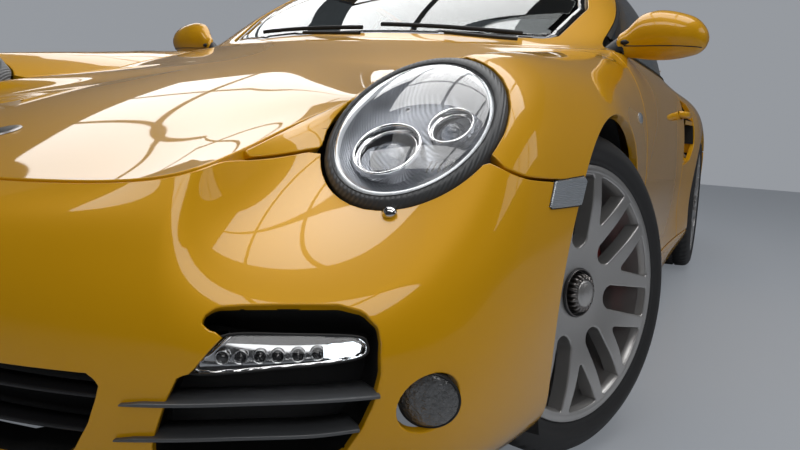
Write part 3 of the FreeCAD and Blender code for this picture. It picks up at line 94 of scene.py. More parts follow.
# The body's three sheets, in millimetres: rows run from the nose to the tail, columns from low or outside upwards
bandTable = arr(
    ((2150, 0, 165), (2195, 0, 200), (2215, 0, 270), (2225, 0, 350), (2220, 0, 420), (2200, 0, 475),
     (2165, 0, 518), (2115, 0, 545)),
    ((2135, 240, 160), (2180, 245, 197), (2200, 250, 268), (2208, 250, 350), (2202, 248, 420), (2182, 243, 475),
     (2150, 236, 518), (2100, 228, 546)),
    ((2055, 450, 155), (2105, 470, 195), (2128, 478, 265), (2138, 482, 350), (2131, 478, 420), (2110, 466, 478),
     (2088, 452, 525), (2058, 439, 561)),
    ((1945, 612, 150), (2000, 638, 192), (2030, 650, 265), (2042, 652, 350), (2034, 642, 418), (2008, 612, 480),
     (1985, 560, 542), (1985, 500, 590)),
    ((1838, 738, 150), (1885, 766, 195), (1915, 780, 265), (1925, 782, 350), (1912, 770, 425), (1865, 738, 505),
     (1790, 620, 632), (1830, 485, 632)),
    ((1690, 800, 152), (1712, 832, 200), (1722, 843, 265), (1725, 845, 350), (1716, 838, 440), (1692, 806, 568),
     (1600, 650, 757), (1640, 456, 675)),
    ((1480, 838, 155), (1480, 865, 200), (1480, 872, 280), (1480, 876, 380), (1480, 876, 500), (1478, 850, 655),
     (1455, 690, 795), (1440, 466, 722)),
    ((1265, 852, 152), (1265, 874, 202), (1265, 881, 280), (1265, 885, 400), (1265, 887, 530), (1265, 868, 688),
     (1265, 722, 816), (1265, 515, 775)),
    ((1040, 856, 152), (1040, 872, 206), (1040, 875, 285), (1040, 873, 400), (1040, 876, 530), (1040, 862, 690),
     (1040, 755, 838), (1040, 575, 828)),
    ((868, 860, 150), (868, 872, 208), (868, 872, 290), (868, 869, 400), (868, 872, 530), (868, 858, 692),
     (868, 780, 842), (868, 650, 864)),
    ((770, 862, 150), (770, 872, 210), (770, 870, 292), (770, 868, 400), (770, 871, 530), (770, 858, 694),
     (770, 806, 818), (770, 752, 877)),
    ((520, 866, 150), (520, 873, 213), (520, 868, 296), (520, 866, 400), (520, 870, 530), (520, 858, 696),
     (520, 822, 816), (520, 768, 884)),
    ((280, 868, 150), (280, 875, 215), (280, 867, 298), (280, 865, 400), (280, 870, 530), (280, 858, 698),
     (280, 824, 820), (280, 774, 888)),
    ((30, 870, 150), (30, 878, 217), (30, 868, 300), (30, 866, 400), (30, 871, 530), (30, 859, 700),
     (30, 826, 824), (30, 778, 891)),
    ((-250, 872, 150), (-250, 886, 220), (-250, 874, 300), (-250, 870, 400), (-250, 875, 530), (-250, 863, 705),
     (-250, 828, 832), (-250, 776, 894)),
    ((-520, 875, 150), (-520, 900, 224), (-520, 894, 300), (-520, 889, 410), (-520, 893, 540), (-520, 882, 718),
     (-520, 834, 845), (-520, 748, 897)),
    ((-800, 878, 152), (-800, 916, 226), (-800, 919, 305), (-800, 919, 420), (-800, 921, 560), (-800, 908, 735),
     (-800, 832, 858), (-800, 670, 900)),
    ((-1085, 878, 155), (-1085, 915, 225), (-1085, 924, 305), (-1085, 926, 430), (-1085, 925, 580),
     (-1085, 908, 745), (-1085, 820, 856), (-1085, 602, 888)),
    ((-1380, 866, 168), (-1380, 902, 232), (-1380, 916, 315), (-1380, 921, 435), (-1380, 919, 585),
     (-1380, 897, 730), (-1380, 795, 832), (-1380, 562, 864)),
    ((-1650, 830, 190), (-1650, 868, 245), (-1650, 889, 322), (-1650, 900, 442), (-1650, 898, 588),
     (-1650, 868, 708), (-1650, 755, 796), (-1650, 546, 832)),
    ((-1880, 770, 215), (-1880, 812, 264), (-1880, 838, 332), (-1880, 852, 450), (-1880, 850, 590),
     (-1880, 818, 692), (-1880, 708, 758), (-1880, 538, 782)),
    ((-2025, 650, 232), (-2062, 690, 276), (-2088, 718, 346), (-2100, 732, 458), (-2094, 728, 592),
     (-2065, 700, 672), (-2035, 612, 720), (-2045, 505, 742)),
    ((-2110, 460, 240), (-2150, 478, 282), (-2176, 490, 352), (-2190, 497, 465), (-2184, 494, 596),
     (-2158, 480, 668), (-2122, 440, 712), (-2080, 385, 745)),
    ((-2138, 235, 240), (-2180, 242, 282), (-2206, 248, 352), (-2219, 250, 465), (-2212, 249, 600),
     (-2188, 242, 670), (-2148, 225, 714), (-2098, 200, 747)),
    ((-2145, 0, 240), (-2187, 0, 282), (-2212, 0, 352), (-2225, 0, 465), (-2218, 0, 600), (-2193, 0, 672),
     (-2152, 0, 715), (-2102, 0, 748)))

topTable = arr(
    ((868, 650, 864), (890, 585, 868), (915, 480, 873), (942, 260, 880), (955, 0, 884)),
    ((770, 752, 877), (762, 688, 884), (775, 600, 889), (850, 320, 899), (882, 0, 904)),
    ((520, 768, 884), (530, 728, 950), (548, 674, 1018), (588, 350, 1056), (602, 0, 1066)),
    ((280, 774, 888), (285, 722, 1025), (292, 602, 1172), (318, 330, 1196), (330, 0, 1205)),
    ((30, 778, 891), (30, 712, 1062), (30, 562, 1238), (30, 310, 1276), (30, 0, 1288)),
    ((-250, 776, 894), (-250, 710, 1066), (-250, 562, 1244), (-250, 310, 1286), (-250, 0, 1300)),
    ((-520, 748, 897), (-520, 688, 1042), (-520, 555, 1210), (-520, 305, 1256), (-520, 0, 1270)),
    ((-800, 670, 900), (-800, 632, 1000), (-800, 525, 1132), (-800, 295, 1186), (-800, 0, 1202)),
    ((-1085, 602, 888), (-1085, 566, 952), (-1085, 486, 1038), (-1085, 280, 1090), (-1085, 0, 1106)),
    ((-1380, 562, 864), (-1380, 520, 896), (-1380, 445, 936), (-1380, 258, 974), (-1380, 0, 988)),
    ((-1650, 546, 832), (-1650, 498, 848), (-1650, 420, 864), (-1650, 240, 884), (-1650, 0, 892)),
    ((-1880, 538, 782), (-1880, 490, 792), (-1880, 410, 800), (-1880, 230, 811), (-1880, 0, 816)),
    ((-2045, 505, 742), (-2062, 450, 744), (-2078, 380, 746), (-2096, 215, 748), (-2102, 0, 748)))

bonnetTable = arr(
    ((1985, 500, 590), (2050, 436, 564), (2088, 330, 551), (2108, 165, 545), (2115, 0, 545)),
    ((1830, 485, 632), (1870, 410, 614), (1905, 310, 606), (1922, 160, 606), (1925, 0, 606)),
    ((1640, 456, 675), (1660, 390, 669), (1680, 300, 670), (1696, 155, 675), (1700, 0, 676)),
    ((1440, 466, 722), (1450, 398, 723), (1460, 305, 729), (1472, 160, 736), (1475, 0, 738)),
    ((1265, 515, 775), (1268, 440, 777), (1272, 335, 783), (1275, 175, 790), (1275, 0, 792)),
    ((1040, 575, 828), (1048, 495, 833), (1058, 375, 840), (1068, 195, 845), (1070, 0, 846)),
    ((868, 650, 864), (896, 560, 869), (925, 425, 875), (948, 220, 881), (955, 0, 884)))


def splineNet(table, mirrorRows, mirrorColumns):
    # control net whose cubic sheet passes through the table; an end is mirrored in Y = 0 or run on straight
    def ends(lines, mirror):
        first = mirrorY(lines[1]) if mirror[0] else 2 * lines[0] - lines[1]
        last = mirrorY(lines[-2]) if mirror[1] else 2 * lines[-1] - lines[-2]
        return np.concatenate([first[None], lines, last[None]])
    net = table / 1000
    for axis, mirror in ((0, mirrorRows), (1, mirrorColumns)):
        lines = np.swapaxes(net, 0, axis)
        wide = ends(lines, mirror)
        net = np.swapaxes(lines - (wide[:-2] - 2 * wide[1:-1] + wide[2:]) / 6, 0, axis)
    for axis, mirror in ((0, mirrorRows), (1, mirrorColumns)):
        net = np.swapaxes(ends(np.swapaxes(net, 0, axis), mirror), 0, axis)
    return net


def cubicWeights(u):
    # uniform cubic B-spline weights and their slopes
    value = np.stack([(1 - u) ** 3 / 6, (3 * u ** 3 - 6 * u ** 2 + 4) / 6, (-3 * u ** 3 + 3 * u ** 2 + 3 * u + 1) / 6,
                      u ** 3 / 6])
    slope = np.stack([-(1 - u) ** 2 / 2, (3 * u ** 2 - 4 * u) / 2, (-3 * u ** 2 + 2 * u + 1) / 2, u ** 2 / 2])
    return value, slope


band = {"net": splineNet(bandTable, (True, True), (False, False)), "rows": 24, "columns": 7, "middle": "rows"}
top = {"net": splineNet(topTable, (False, False), (False, True)), "rows": 12, "columns": 4, "middle": "columns"}
bonnetSheet = {"net": splineNet(bonnetTable, (False, False), (False, True)), "rows": 6, "columns": 4,
               "middle": "columns"}


def rawSheet(sheet, s, t):
    # points and outward normals; past its middle line a sheet is its own mirror image
    s, t = np.broadcast_arrays(np.asarray(s, float), np.asarray(t, float))
    if sheet["middle"] == "rows":
        flip = (s < 0) | (s > sheet["rows"])
        s = np.where(s > sheet["rows"], 2 * sheet["rows"] - s, np.abs(s) if (s < 0).any() else s)
    else:
        flip = t > sheet["columns"]
        t = np.where(flip, 2 * sheet["columns"] - t, t)
    i = np.clip(np.floor(s).astype(int), 0, sheet["rows"] - 1)
    j = np.clip(np.floor(t).astype(int), 0, sheet["columns"] - 1)
    (a, da), (b, db) = cubicWeights(s - i), cubicWeights(t - j)
    point = along = across = 0
    for k in range(4):
        for m in range(4):
            node = sheet["net"][i + k, j + m]
            point = point + (a[k] * b[m])[..., None] * node
            along = along + (da[k] * b[m])[..., None] * node
            across = across + (a[k] * db[m])[..., None] * node
    normal = unit(np.cross(along, across))
    side = np.where(flip[..., None], arr(1, -1, 1), 1.0)
    return point * side, normal * side


headlamp = {"centre": arr(1.709, 0.633, 0.646), "slope": math.radians(47.3), "length": 0.174, "width": 0.142,
            "reach": (1.35, 0.45), "widest": math.radians(235)}
eye = arr(2.6169, 1.0742, 0.6417)
lampOut = unit(arr(math.cos(headlamp["slope"]), 0.015, math.sin(headlamp["slope"])))
lampAcross = unit(np.cross(arr(0, 0, 1), lampOut))
lampUp = np.cross(lampOut, lampAcross)


def smoothRamp(x):
    x = np.clip(x, 0, 1)
    return x * x * (3 - 2 * x)


def drawnToLamp(points):
    # near the headlamp the body moves onto the plane of its rim, along the line from the photo's viewpoint,
    # so that the outline seen there stays; wider on the inner lower side
    side = np.where(points[..., 1:2] < 0, arr(1, -1, 1), 1.0)
    q = points * side - headlamp["centre"]
    ray = unit(points * side - eye)
    far = -(q @ lampOut) / (ray @ lampOut)
    onPlane = q + far[..., None] * ray
    x, y = onPlane @ lampAcross / headlamp["width"], onPlane @ lampUp / headlamp["length"]
    ring, turn = np.hypot(x, y), np.arctan2(y, x)
    reach = headlamp["reach"][0] + headlamp["reach"][1] * np.cos(turn - headlamp["widest"])
    height = q @ lampOut
    w = np.clip(1 - (ring - 1) / reach, 0, 1) ** 2
    w = np.where(ring < 1, 1, w) * smoothRamp((height + 0.20) / 0.14) * smoothRamp((0.26 - height) / 0.12)
    return points + (w * far)[..., None] * ray * side


shading = {"evening": 0.8, "fade": 0.9, "step": 0.01}


def onSheet(sheet, s, t):
    # the sheet with the headlamp's rim worked in; normals from neighbouring points where it was moved
    s, t = np.broadcast_arrays(np.asarray(s, float), np.asarray(t, float))
    if s.ndim == 0:
        point, normal = onSheet(sheet, s[None], t[None])
        return point[0], normal[0]
    if callable(sheet):
        return sheet(s, t)
    raw, normal = rawSheet(sheet, s, t)
    if sheet is bonnetSheet:
        # the bonnet's shading is evened out over the rows of its net
        wide = shading["evening"]
        inS, inT = np.clip(s, wide, 6 - wide), np.clip(t, wide, 8 - wide)
        along = rawSheet(sheet, inS + wide, inT)[0] - rawSheet(sheet, inS - wide, inT)[0]
        across = rawSheet(sheet, inS, inT + wide)[0] - rawSheet(sheet, inS, inT - wide)[0]
        even = unit(np.cross(along, across))
        share = smoothRamp((shading["fade"] - np.maximum(np.abs(s - inS), np.abs(t - inT))) / shading["fade"])[..., None]
        normal = unit(normal * (1 - share) + even * np.sign((even * normal).sum(-1, keepdims=True)) * share)
    point = drawnToLamp(raw)
    moved = np.nonzero(np.linalg.norm(raw - point, axis=-1) > 1e-6)
    if len(moved[0]):
        a, b, step = s[moved], t[moved], shading["step"]
        along = drawnToLamp(rawSheet(sheet, a + step, b)[0]) - drawnToLamp(rawSheet(sheet, a - step, b)[0])
        across = drawnToLamp(rawSheet(sheet, a, b + step)[0]) - drawnToLamp(rawSheet(sheet, a, b - step)[0])
        turned = unit(np.cross(along, across))
        normal[moved] = turned * np.sign((turned * normal[moved]).sum(-1, keepdims=True))
    return point, normal


def outlineDistance(outline, points, rounding=0.0):
    # signed distance in a plane from a closed outline, positive inside; rounding grows and rounds it
    a = np.asarray(outline, float)
    b = np.roll(a, -1, 0)
    flat = points.reshape(-1, 2)
    best = np.full(len(flat), 1e9)
    inside = np.zeros(len(flat), bool)
    for p, q in zip(a, b):
        run = q - p
        rel = flat - p
        u = np.clip(rel @ run / (run @ run + 1e-18), 0, 1)
        best = np.minimum(best, np.hypot(*(rel - u[:, None] * run).T))
        crosses = (p[1] > flat[:, 1]) != (q[1] > flat[:, 1])
        rise = q[1] - p[1] if q[1] != p[1] else 1e-12
        inside ^= crosses & (flat[:, 0] < p[0] + run[0] * (flat[:, 1] - p[1]) / rise)
    return (np.where(inside, best, -best) + rounding).reshape(points.shape[:-1])


def smoothPath(points, count=12, closed=False):
    # Catmull-Rom curve through the points
    p = np.asarray(points, float)
    if closed:
        p = np.concatenate([p[-1:], p, p[:2]])
    else:
        p = np.concatenate([2 * p[:1] - p[1:2], p, 2 * p[-1:] - p[-2:-1]])
    u = np.linspace(0, 1, count, endpoint=False)[:, None]
    pieces = []
    for k in range(len(p) - 3):
        a, b, c, d = p[k:k + 4]
        pieces.append(0.5 * (2 * b + (c - a) * u + (2 * a - 5 * b + 4 * c - d) * u ** 2 + (3 * b - a - 3 * c + d) * u ** 3))
    if not closed:
        pieces.append(p[-2:-1])
    return np.concatenate(pieces)


def gradientOnGrid(values, pointI, pointJ):
    # surface gradient of a field on a grid, as steps along the two grid directions, with its size
    fi, fj = np.gradient(values)
    e, f, g = (pointI * pointI).sum(-1), (pointI * pointJ).sum(-1), (pointJ * pointJ).sum(-1)
    det = np.maximum(e * g - f * f, 1e-14)
    stepI, stepJ = (g * fi - f * fj) / det, (e * fj - f * fi) / det
    return stepI, stepJ, np.sqrt(np.maximum(stepI * fi + stepJ * fj, 1e-12))


def cutSheet(sheet, s, t, edges, depth=0.0):
    # the part of a sheet where every edge field is positive, with grid points drawn onto the edges;
    # each edge is (field(points, s, t), inset). Gives points, normals, faces.
    s, t = np.broadcast_arrays(np.asarray(s, float), np.asarray(t, float))
    s, t = s.copy(), t.copy()

    def evaluate(s, t):
        points, normals = onSheet(sheet, s, t)
        return points - depth * normals, normals
    points, normals = evaluate(s, t)
    pointI, pointJ = np.gradient(points, axis=(0, 1))
    sizes, gradients = [], []
    for field, inset in edges:
        stepI, stepJ, size = gradientOnGrid(field(points, s, t), pointI, pointJ)
        size = np.maximum(size, 0.25 * np.median(size))
        sizes.append(size)
        gradients.append((stepI / size, stepJ / size))

    def distance(points, s, t, pick=slice(None)):
        return np.stack([field(points, s, t) / size[pick] - inset for (field, inset), size in zip(edges, sizes)])
    d = distance(points, s, t)
    nearest = d.argmin(0)
    f = d.min(0)
    snap = np.zeros(f.shape, bool)
    for a, b in ((np.s_[:-1, :], np.s_[1:, :]), (np.s_[:, :-1], np.s_[:, 1:])):
        crossing = f[a] * f[b] < 0
        first = np.abs(f[a]) <= np.abs(f[b])
        snap[a] |= crossing & first
        snap[b] |= crossing & ~first
    rows, cols = np.nonzero(snap)
    pick = (rows, cols)
    si, sj = np.gradient(s)
    ti, tj = np.gradient(t)
    stepI = np.choose(nearest[pick], [g[0][pick] for g in gradients])
    stepJ = np.choose(nearest[pick], [g[1][pick] for g in gradients])
    ds, dt = si[pick] * stepI + sj[pick] * stepJ, ti[pick] * stepI + tj[pick] * stepJ
    s2, t2 = s[pick], t[pick]
    value = f[pick]
    for _ in range(5):
        value = np.clip(value, -0.006, 0.006)
        s2 = np.clip(s2 - value * ds, s[pick] - np.abs(si[pick]), s[pick] + np.abs(si[pick]))
        t2 = np.clip(t2 - value * dt, t[pick] - np.abs(tj[pick]), t[pick] + np.abs(tj[pick]))
        p2, n2 = evaluate(s2, t2)
        value = distance(p2, s2, t2, pick).min(0)
    s[pick], t[pick] = s2, t2
    points[pick], normals[pick] = p2, n2
    f[pick] = 0
    state = np.sign(f).astype(int)
    index = np.arange(f.size).reshape(f.shape)
    corner = [x.ravel() for x in (index[:-1, :-1], index[1:, :-1], index[1:, 1:], index[:-1, 1:])]
    flatState, flatPoints, flatS, flatT = state.ravel(), points.reshape(-1, 3), s.ravel(), t.ravel()
    k = [flatState[c] for c in corner]
    whole = np.minimum.reduce(k) >= 0

    def keep(a, b, c):
        # a triangle with no corner outside; one lying wholly on the edge is tested at its middle
        ok = np.minimum(np.minimum(k[a], k[b]), k[c]) >= 0
        flat = ok & (np.maximum(np.maximum(k[a], k[b]), k[c]) == 0)
        ids = np.nonzero(flat)[0]
        if len(ids):
            tri = [corner[n][ids] for n in (a, b, c)]
            ms, mt = sum(flatS[x] for x in tri) / 3, sum(flatT[x] for x in tri) / 3
            mid = evaluate(ms, mt)[0]
            near = tuple(np.array(np.unravel_index(tri[0], f.shape)))
            ok[ids] = distance(mid, ms, mt, near).min(0) > 1e-5
        return ok
    allZero = whole & (np.maximum.reduce(k) == 0)
    quads = np.stack(corner, -1)[whole & ~allZero]
    partial = ~whole | allZero
    a1, a2, b1, b2 = keep(0, 1, 2) & partial, keep(0, 2, 3) & partial, keep(0, 1, 3) & partial, keep(1, 2, 3) & partial
    useB = b1.astype(int) + b2 > a1.astype(int) + a2
    triangles = []
    for mask, ids in ((a1 & ~useB, (0, 1, 2)), (a2 & ~useB, (0, 2, 3)), (b1 & useB, (0, 1, 3)), (b2 & useB, (1, 2, 3))):
        triangles.append(np.stack([corner[n][mask] for n in ids], -1))
    triangles = np.concatenate(triangles)
    tri = flatPoints[triangles]
    area = np.linalg.norm(np.cross(tri[:, 1] - tri[:, 0], tri[:, 2] - tri[:, 0]), axis=-1)
    triangles = triangles[area > 1e-9]
    used = np.unique(np.concatenate([quads.ravel(), triangles.ravel()]))
    renumber = np.full(f.size, -1)
    renumber[used] = np.arange(len(used))
    faces = [tuple(q) for q in renumber[quads]] + [tuple(q) for q in renumber[triangles]]
    return flatPoints[used], normals.reshape(-1, 3)[used], faces


def borderEdges(faces):
    # directed edges that only one face has
    pairs = [(f[k], f[(k + 1) % len(f)]) for f in faces for k in range(len(f))]
    e = np.array(pairs)
    key = np.sort(e, 1)
    _, inverse, counts = np.unique(key[:, 0] * (key.max() + 1) + key[:, 1], return_inverse=True, return_counts=True)
    return e[counts[inverse.ravel()] == 1]


def rolledEdge(points, normals, faces, radius, flange):
    # rolls the border over with a round edge, then runs it inwards as a flange
    e = borderEdges(faces)
    count = len(points)
    tangent = np.zeros((count, 3))
    run = unit(points[e[:, 1]] - points[e[:, 0]])
    np.add.at(tangent, e[:, 0], run)
    np.add.at(tangent, e[:, 1], run)
    rim = np.unique(e)
    out = unit(np.cross(tangent[rim], normals[rim]))
    renumber = np.full(count, -1)
    renumber[rim] = np.arange(len(rim))
    layersP, layersN = [points], [normals]
    allFaces = list(faces)
    previous = rim
    start = count
    angles = np.radians([30, 60, 90])
    levels = [(radius * math.sin(a), radius * (1 - math.cos(a)), a) for a in angles]
    levels.append((levels[-1][0], levels[-1][1] + flange, angles[-1]))
    for outward, down, a in levels:
        layersP.append(points[rim] + outward * out - down * normals[rim])
        layersN.append(normals[rim] * math.cos(a) + out * math.sin(a))
        current = start + np.arange(len(rim))
        a0, b0 = renumber[e[:, 0]], renumber[e[:, 1]]
        allFaces += [tuple(q) for q in np.stack([previous[b0], previous[a0], current[a0], current[b0]], -1)]
        previous = current
        start += len(rim)
    return np.concatenate(layersP), np.concatenate(layersN), allFaces


edge = {"radius": 0.0022, "gap": 0.0042, "flange": 0.016}
inset = edge["radius"] + edge["gap"] / 2


def placeSheet(name, body, slot, mesh, material, mirror, replaces):
    # adds a cut sheet, or its mirror image for the right side
    points, normals, faces = mesh
    if mirror:
        points, normals, faces = mirrorY(points), mirrorY(normals), flipped(faces)
    return addPiece(name, body, slot, points, faces, material, normals, replaces=replaces)


def bodyPanel(name, body, sheet, s, t, edges, material, slot="paint", replaces=(), mirror=False, flange=edge["flange"]):
    # painted panel with rolled edges; edges given without an inset get half the shut gap and the edge's radius
    edges = [e if isinstance(e, tuple) else (e, inset) for e in edges]
    mesh = rolledEdge(*cutSheet(sheet, s, t, edges), edge["radius"], flange)
    return placeSheet(name, body, slot, mesh, material, mirror, replaces)


def nodeGroup(name, sockets, build):
    # shared effect with named inputs and outputs
    group = bpy.data.node_groups.new(name, "ShaderNodeTree")
    for label, way, kind, value in sockets:
        socket = group.interface.new_socket(name=label, in_out=way, socket_type="NodeSocket" + kind)
        if value is not None:
            socket.default_value = value
    start, end = group.nodes.new("NodeGroupInput"), group.nodes.new("NodeGroupOutput")
    build(group.nodes, group.links, start.outputs, end.inputs)
    return group


def buildMottle(nodes, links, given, out):
    # slow noise that shifts a colour's brightness and a roughness
    noise = nodes.new("ShaderNodeTexNoise")
    noise.inputs["Detail"].default_value = 4
    links.new(given["Vector"], noise.inputs["Vector"])
    links.new(given["Scale"], noise.inputs["Scale"])
    centred = nodes.new("ShaderNodeMath"); centred.operation = "SUBTRACT"
    links.new(noise.outputs["Fac"], centred.inputs[0]); centred.inputs[1].default_value = 0.5
    for amount, base, target, kind in (("Shade", "Color", "Color", "MULTIPLY"),
                                       ("Spread", "Roughness", "Roughness", "ADD")):
        scaled = nodes.new("ShaderNodeMath"); scaled.operation = "MULTIPLY"
        links.new(centred.outputs[0], scaled.inputs[0]); links.new(given[amount], scaled.inputs[1])
        if kind == "ADD":
            total = nodes.new("ShaderNodeMath"); total.operation = "ADD"
            links.new(scaled.outputs[0], total.inputs[0]); links.new(given[base], total.inputs[1])
            links.new(total.outputs[0], out[target])
        else:
            factor = nodes.new("ShaderNodeMath"); factor.operation = "ADD"; factor.inputs[1].default_value = 1.0
            links.new(scaled.outputs[0], factor.inputs[0])
            product = nodes.new("ShaderNodeVectorMath"); product.operation = "SCALE"
            links.new(given[base], product.inputs[0]); links.new(factor.outputs[0], product.inputs["Scale"])
            links.new(product.outputs[0], out[target])


mottle = nodeGroup("mottle", [("Vector", "INPUT", "Vector", None), ("Color", "INPUT", "Color", (0.5, 0.5, 0.5, 1)),
                              ("Roughness", "INPUT", "Float", 0.5), ("Scale", "INPUT", "Float", 5.0),
                              ("Shade", "INPUT", "Float", 0.1), ("Spread", "INPUT", "Float", 0.1),
                              ("Color", "OUTPUT", "Color", None), ("Roughness", "OUTPUT", "Float", None)], buildMottle)


def buildGrain(nodes, links, given, out):
    # pebbled height for plastic and leather, from cells and noise
    cells = nodes.new("ShaderNodeTexVoronoi"); cells.feature = "DISTANCE_TO_EDGE"
    noise = nodes.new("ShaderNodeTexNoise"); noise.inputs["Detail"].default_value = 3
    for node in (cells, noise):
        links.new(given["Vector"], node.inputs["Vector"]); links.new(given["Scale"], node.inputs["Scale"])
    total = nodes.new("ShaderNodeMath"); total.operation = "MULTIPLY_ADD"; total.inputs[1].default_value = 0.6
    links.new(cells.outputs["Distance"], total.inputs[0]); links.new(noise.outputs["Fac"], total.inputs[2])
    links.new(total.outputs[0], out["Height"])


grain = nodeGroup("grain", [("Vector", "INPUT", "Vector", None), ("Scale", "INPUT", "Float", 400.0),
                            ("Height", "OUTPUT", "Float", None)], buildGrain)


def buildRibs(nodes, links, given, out):
    # even parallel ribs along one axis of the vector
    wave = nodes.new("ShaderNodeTexWave"); wave.wave_type = "BANDS"; wave.bands_direction = "X"
    links.new(given["Vector"], wave.inputs["Vector"]); links.new(given["Scale"], wave.inputs["Scale"])
    links.new(wave.outputs["Fac"], out["Height"])


ribs = nodeGroup("ribs", [("Vector", "INPUT", "Vector", None), ("Scale", "INPUT", "Float", 100.0),
                          ("Height", "OUTPUT", "Float", None)], buildRibs)


def finish(name, color, roughness, metallic=0.0, shade=0.06, spread=0.05, scale=6.0, bump=None, sockets=None,
           seeThrough=False, ribTurn=None, shown=None):
    # one finish: a Principled shader fed by the shared groups; bump is (group, scale, strength, distance)
    material = bpy.data.materials.new(name)
    material.use_nodes = True
    nodes, links = material.node_tree.nodes, material.node_tree.links
    shader = nodes["Principled BSDF"]
    place = nodes.new("ShaderNodeTexCoord")
    spots = nodes.new("ShaderNodeGroup"); spots.node_tree = mottle
    links.new(place.outputs["Object"], spots.inputs["Vector"])
    for label, value in (("Color", (*color, 1)), ("Roughness", roughness), ("Scale", scale), ("Shade", shade),
                         ("Spread", spread)):
        spots.inputs[label].default_value = value
    links.new(spots.outputs["Color"], shader.inputs["Base Color"])
    links.new(spots.outputs["Roughness"], shader.inputs["Roughness"])
    shader.inputs["Metallic"].default_value = metallic
    for label, value in (sockets or {}).items():
        shader.inputs[label].default_value = value
    if bump:
        group, bumpScale, strength, distance = bump
        height = nodes.new("ShaderNodeGroup"); height.node_tree = group
        height.inputs["Scale"].default_value = bumpScale
        source = place.outputs["Object"]
        if ribTurn is not None:
            turn = nodes.new("ShaderNodeMapping"); turn.inputs["Rotation"].default_value = ribTurn
            links.new(source, turn.inputs["Vector"]); source = turn.outputs["Vector"]
        links.new(source, height.inputs["Vector"])
        relief = nodes.new("ShaderNodeBump")
        relief.inputs["Strength"].default_value = strength
        relief.inputs["Distance"].default_value = distance
        links.new(height.outputs["Height"], relief.inputs["Height"])
        links.new(relief.outputs["Normal"], shader.inputs["Normal"])
    if seeThrough:
        # light passes straight through the pane, so that what lies behind it is lit
        clear = nodes.new("ShaderNodeBsdfTransparent")
        clear.inputs["Color"].default_value = (*seeThrough, 1)
        path, mix = nodes.new("ShaderNodeLightPath"), nodes.new("ShaderNodeMixShader")
        links.new(path.outputs["Is Shadow Ray"], mix.inputs["Fac"])
        links.new(shader.outputs[0], mix.inputs[1]); links.new(clear.outputs[0], mix.inputs[2])
        links.new(mix.outputs[0], nodes["Material Output"].inputs["Surface"])
    if shown:
        # what the camera sees of a floor or backdrop: part of its own light replaced by a pale colour
        pale, path, mix = nodes.new("ShaderNodeEmission"), nodes.new("ShaderNodeLightPath"), nodes.new("ShaderNodeMixShader")
        pale.inputs["Color"].default_value = (*shown[1], 1)
        scaled = nodes.new("ShaderNodeMath"); scaled.operation = "MULTIPLY"; scaled.inputs[1].default_value = shown[0]
        links.new(path.outputs["Is Camera Ray"], scaled.inputs[0]); links.new(scaled.outputs[0], mix.inputs["Fac"])
        links.new(shader.outputs[0], mix.inputs[1]); links.new(pale.outputs[0], mix.inputs[2])
        links.new(mix.outputs[0], nodes["Material Output"].inputs["Surface"])
    return material


coat = {"Coat Weight": 1.0, "Coat Roughness": 0.02, "Coat IOR": 1.45, "Specular IOR Level": 0.15}
paint = finish("goldenYellowPaint", (0.64, 0.315, 0.0), 0.42, 0.1, 0.05, 0.03, 3.0, sockets=coat)
glassClear = finish("windowGlass", (0.80, 0.84, 0.83), 0.0, 0.0, 0.0, 0.0, sockets={"Transmission Weight": 1.0,
                    "IOR": 1.45}, seeThrough=(0.75, 0.78, 0.77))
lensClear = finish("lampLens", (0.98, 0.98, 0.98), 0.0, 0.0, 0.0, 0.0, sockets={"Transmission Weight": 1.0,
                   "IOR": 1.45}, seeThrough=(0.95, 0.95, 0.95))
lensRed = finish("redLens", (0.42, 0.006, 0.006), 0.08, 0.0, 0.1, 0.03,
                 sockets={"Coat Weight": 1.0, "Coat Roughness": 0.02})
lensDark = finish("fogLens", (0.13, 0.13, 0.13), 0.16, 0.6, 0.8, 0.1, 130.0, bump=(grain, 150.0, 1.0, 0.004),
                  sockets={"Coat Weight": 1.0, "Coat Roughness": 0.02})
glossBlack = finish("glossBlack", (0.008, 0.008, 0.008), 0.12, 0.0, 0.1, 0.03, sockets={"Coat Weight": 0.6})
trimBlack = finish("grainedBlackPlastic", (0.018, 0.018, 0.019), 0.5, 0.0, 0.15, 0.1, 20.0,
                   bump=(grain, 900.0, 0.15, 0.0004))
rubberBlack = finish("sealRubber", (0.012, 0.012, 0.012), 0.65, 0.0, 0.1, 0.1, 30.0)
tyreRubber = finish("tyreRubber", (0.022, 0.022, 0.023), 0.6, 0.0, 0.2, 0.12, 14.0, bump=(grain, 500.0, 0.2, 0.0006))
slatGrey = finish("slatPlastic", (0.075, 0.078, 0.082), 0.34, 0.0, 0.1, 0.06, 12.0, sockets={"Coat Weight": 0.3})
chrome = finish("chrome", (0.78, 0.78, 0.79), 0.06, 1.0, 0.05, 0.02, 20.0)
silver = finish("satinSilverWheel", (0.52, 0.51, 0.50), 0.30, 0.75, 0.04, 0.05, 8.0, bump=(grain, 1500.0, 0.05, 0.0002),
                sockets={"Coat Weight": 0.5, "Coat Roughness": 0.08})
steel = finish("machinedSteel", (0.30, 0.28, 0.27), 0.35, 1.0, 0.2, 0.1, 40.0)
caliperRed = finish("caliperPaint", (0.28, 0.02, 0.015), 0.35, 0.1, 0.1, 0.06, sockets={"Coat Weight": 0.5})
blackSteel = finish("chassisBlack", (0.025, 0.025, 0.027), 0.5, 0.2, 0.2, 0.1, 10.0, bump=(grain, 300.0, 0.1, 0.0005))
castAlloy = finish("castAlloy", (0.32, 0.32, 0.32), 0.45, 0.9, 0.2, 0.1, 15.0, bump=(grain, 400.0, 0.3, 0.001))
cabinBlack = finish("cabinPlastic", (0.03, 0.03, 0.031), 0.55, 0.0, 0.15, 0.08, 15.0, bump=(grain, 700.0, 0.25, 0.0006))
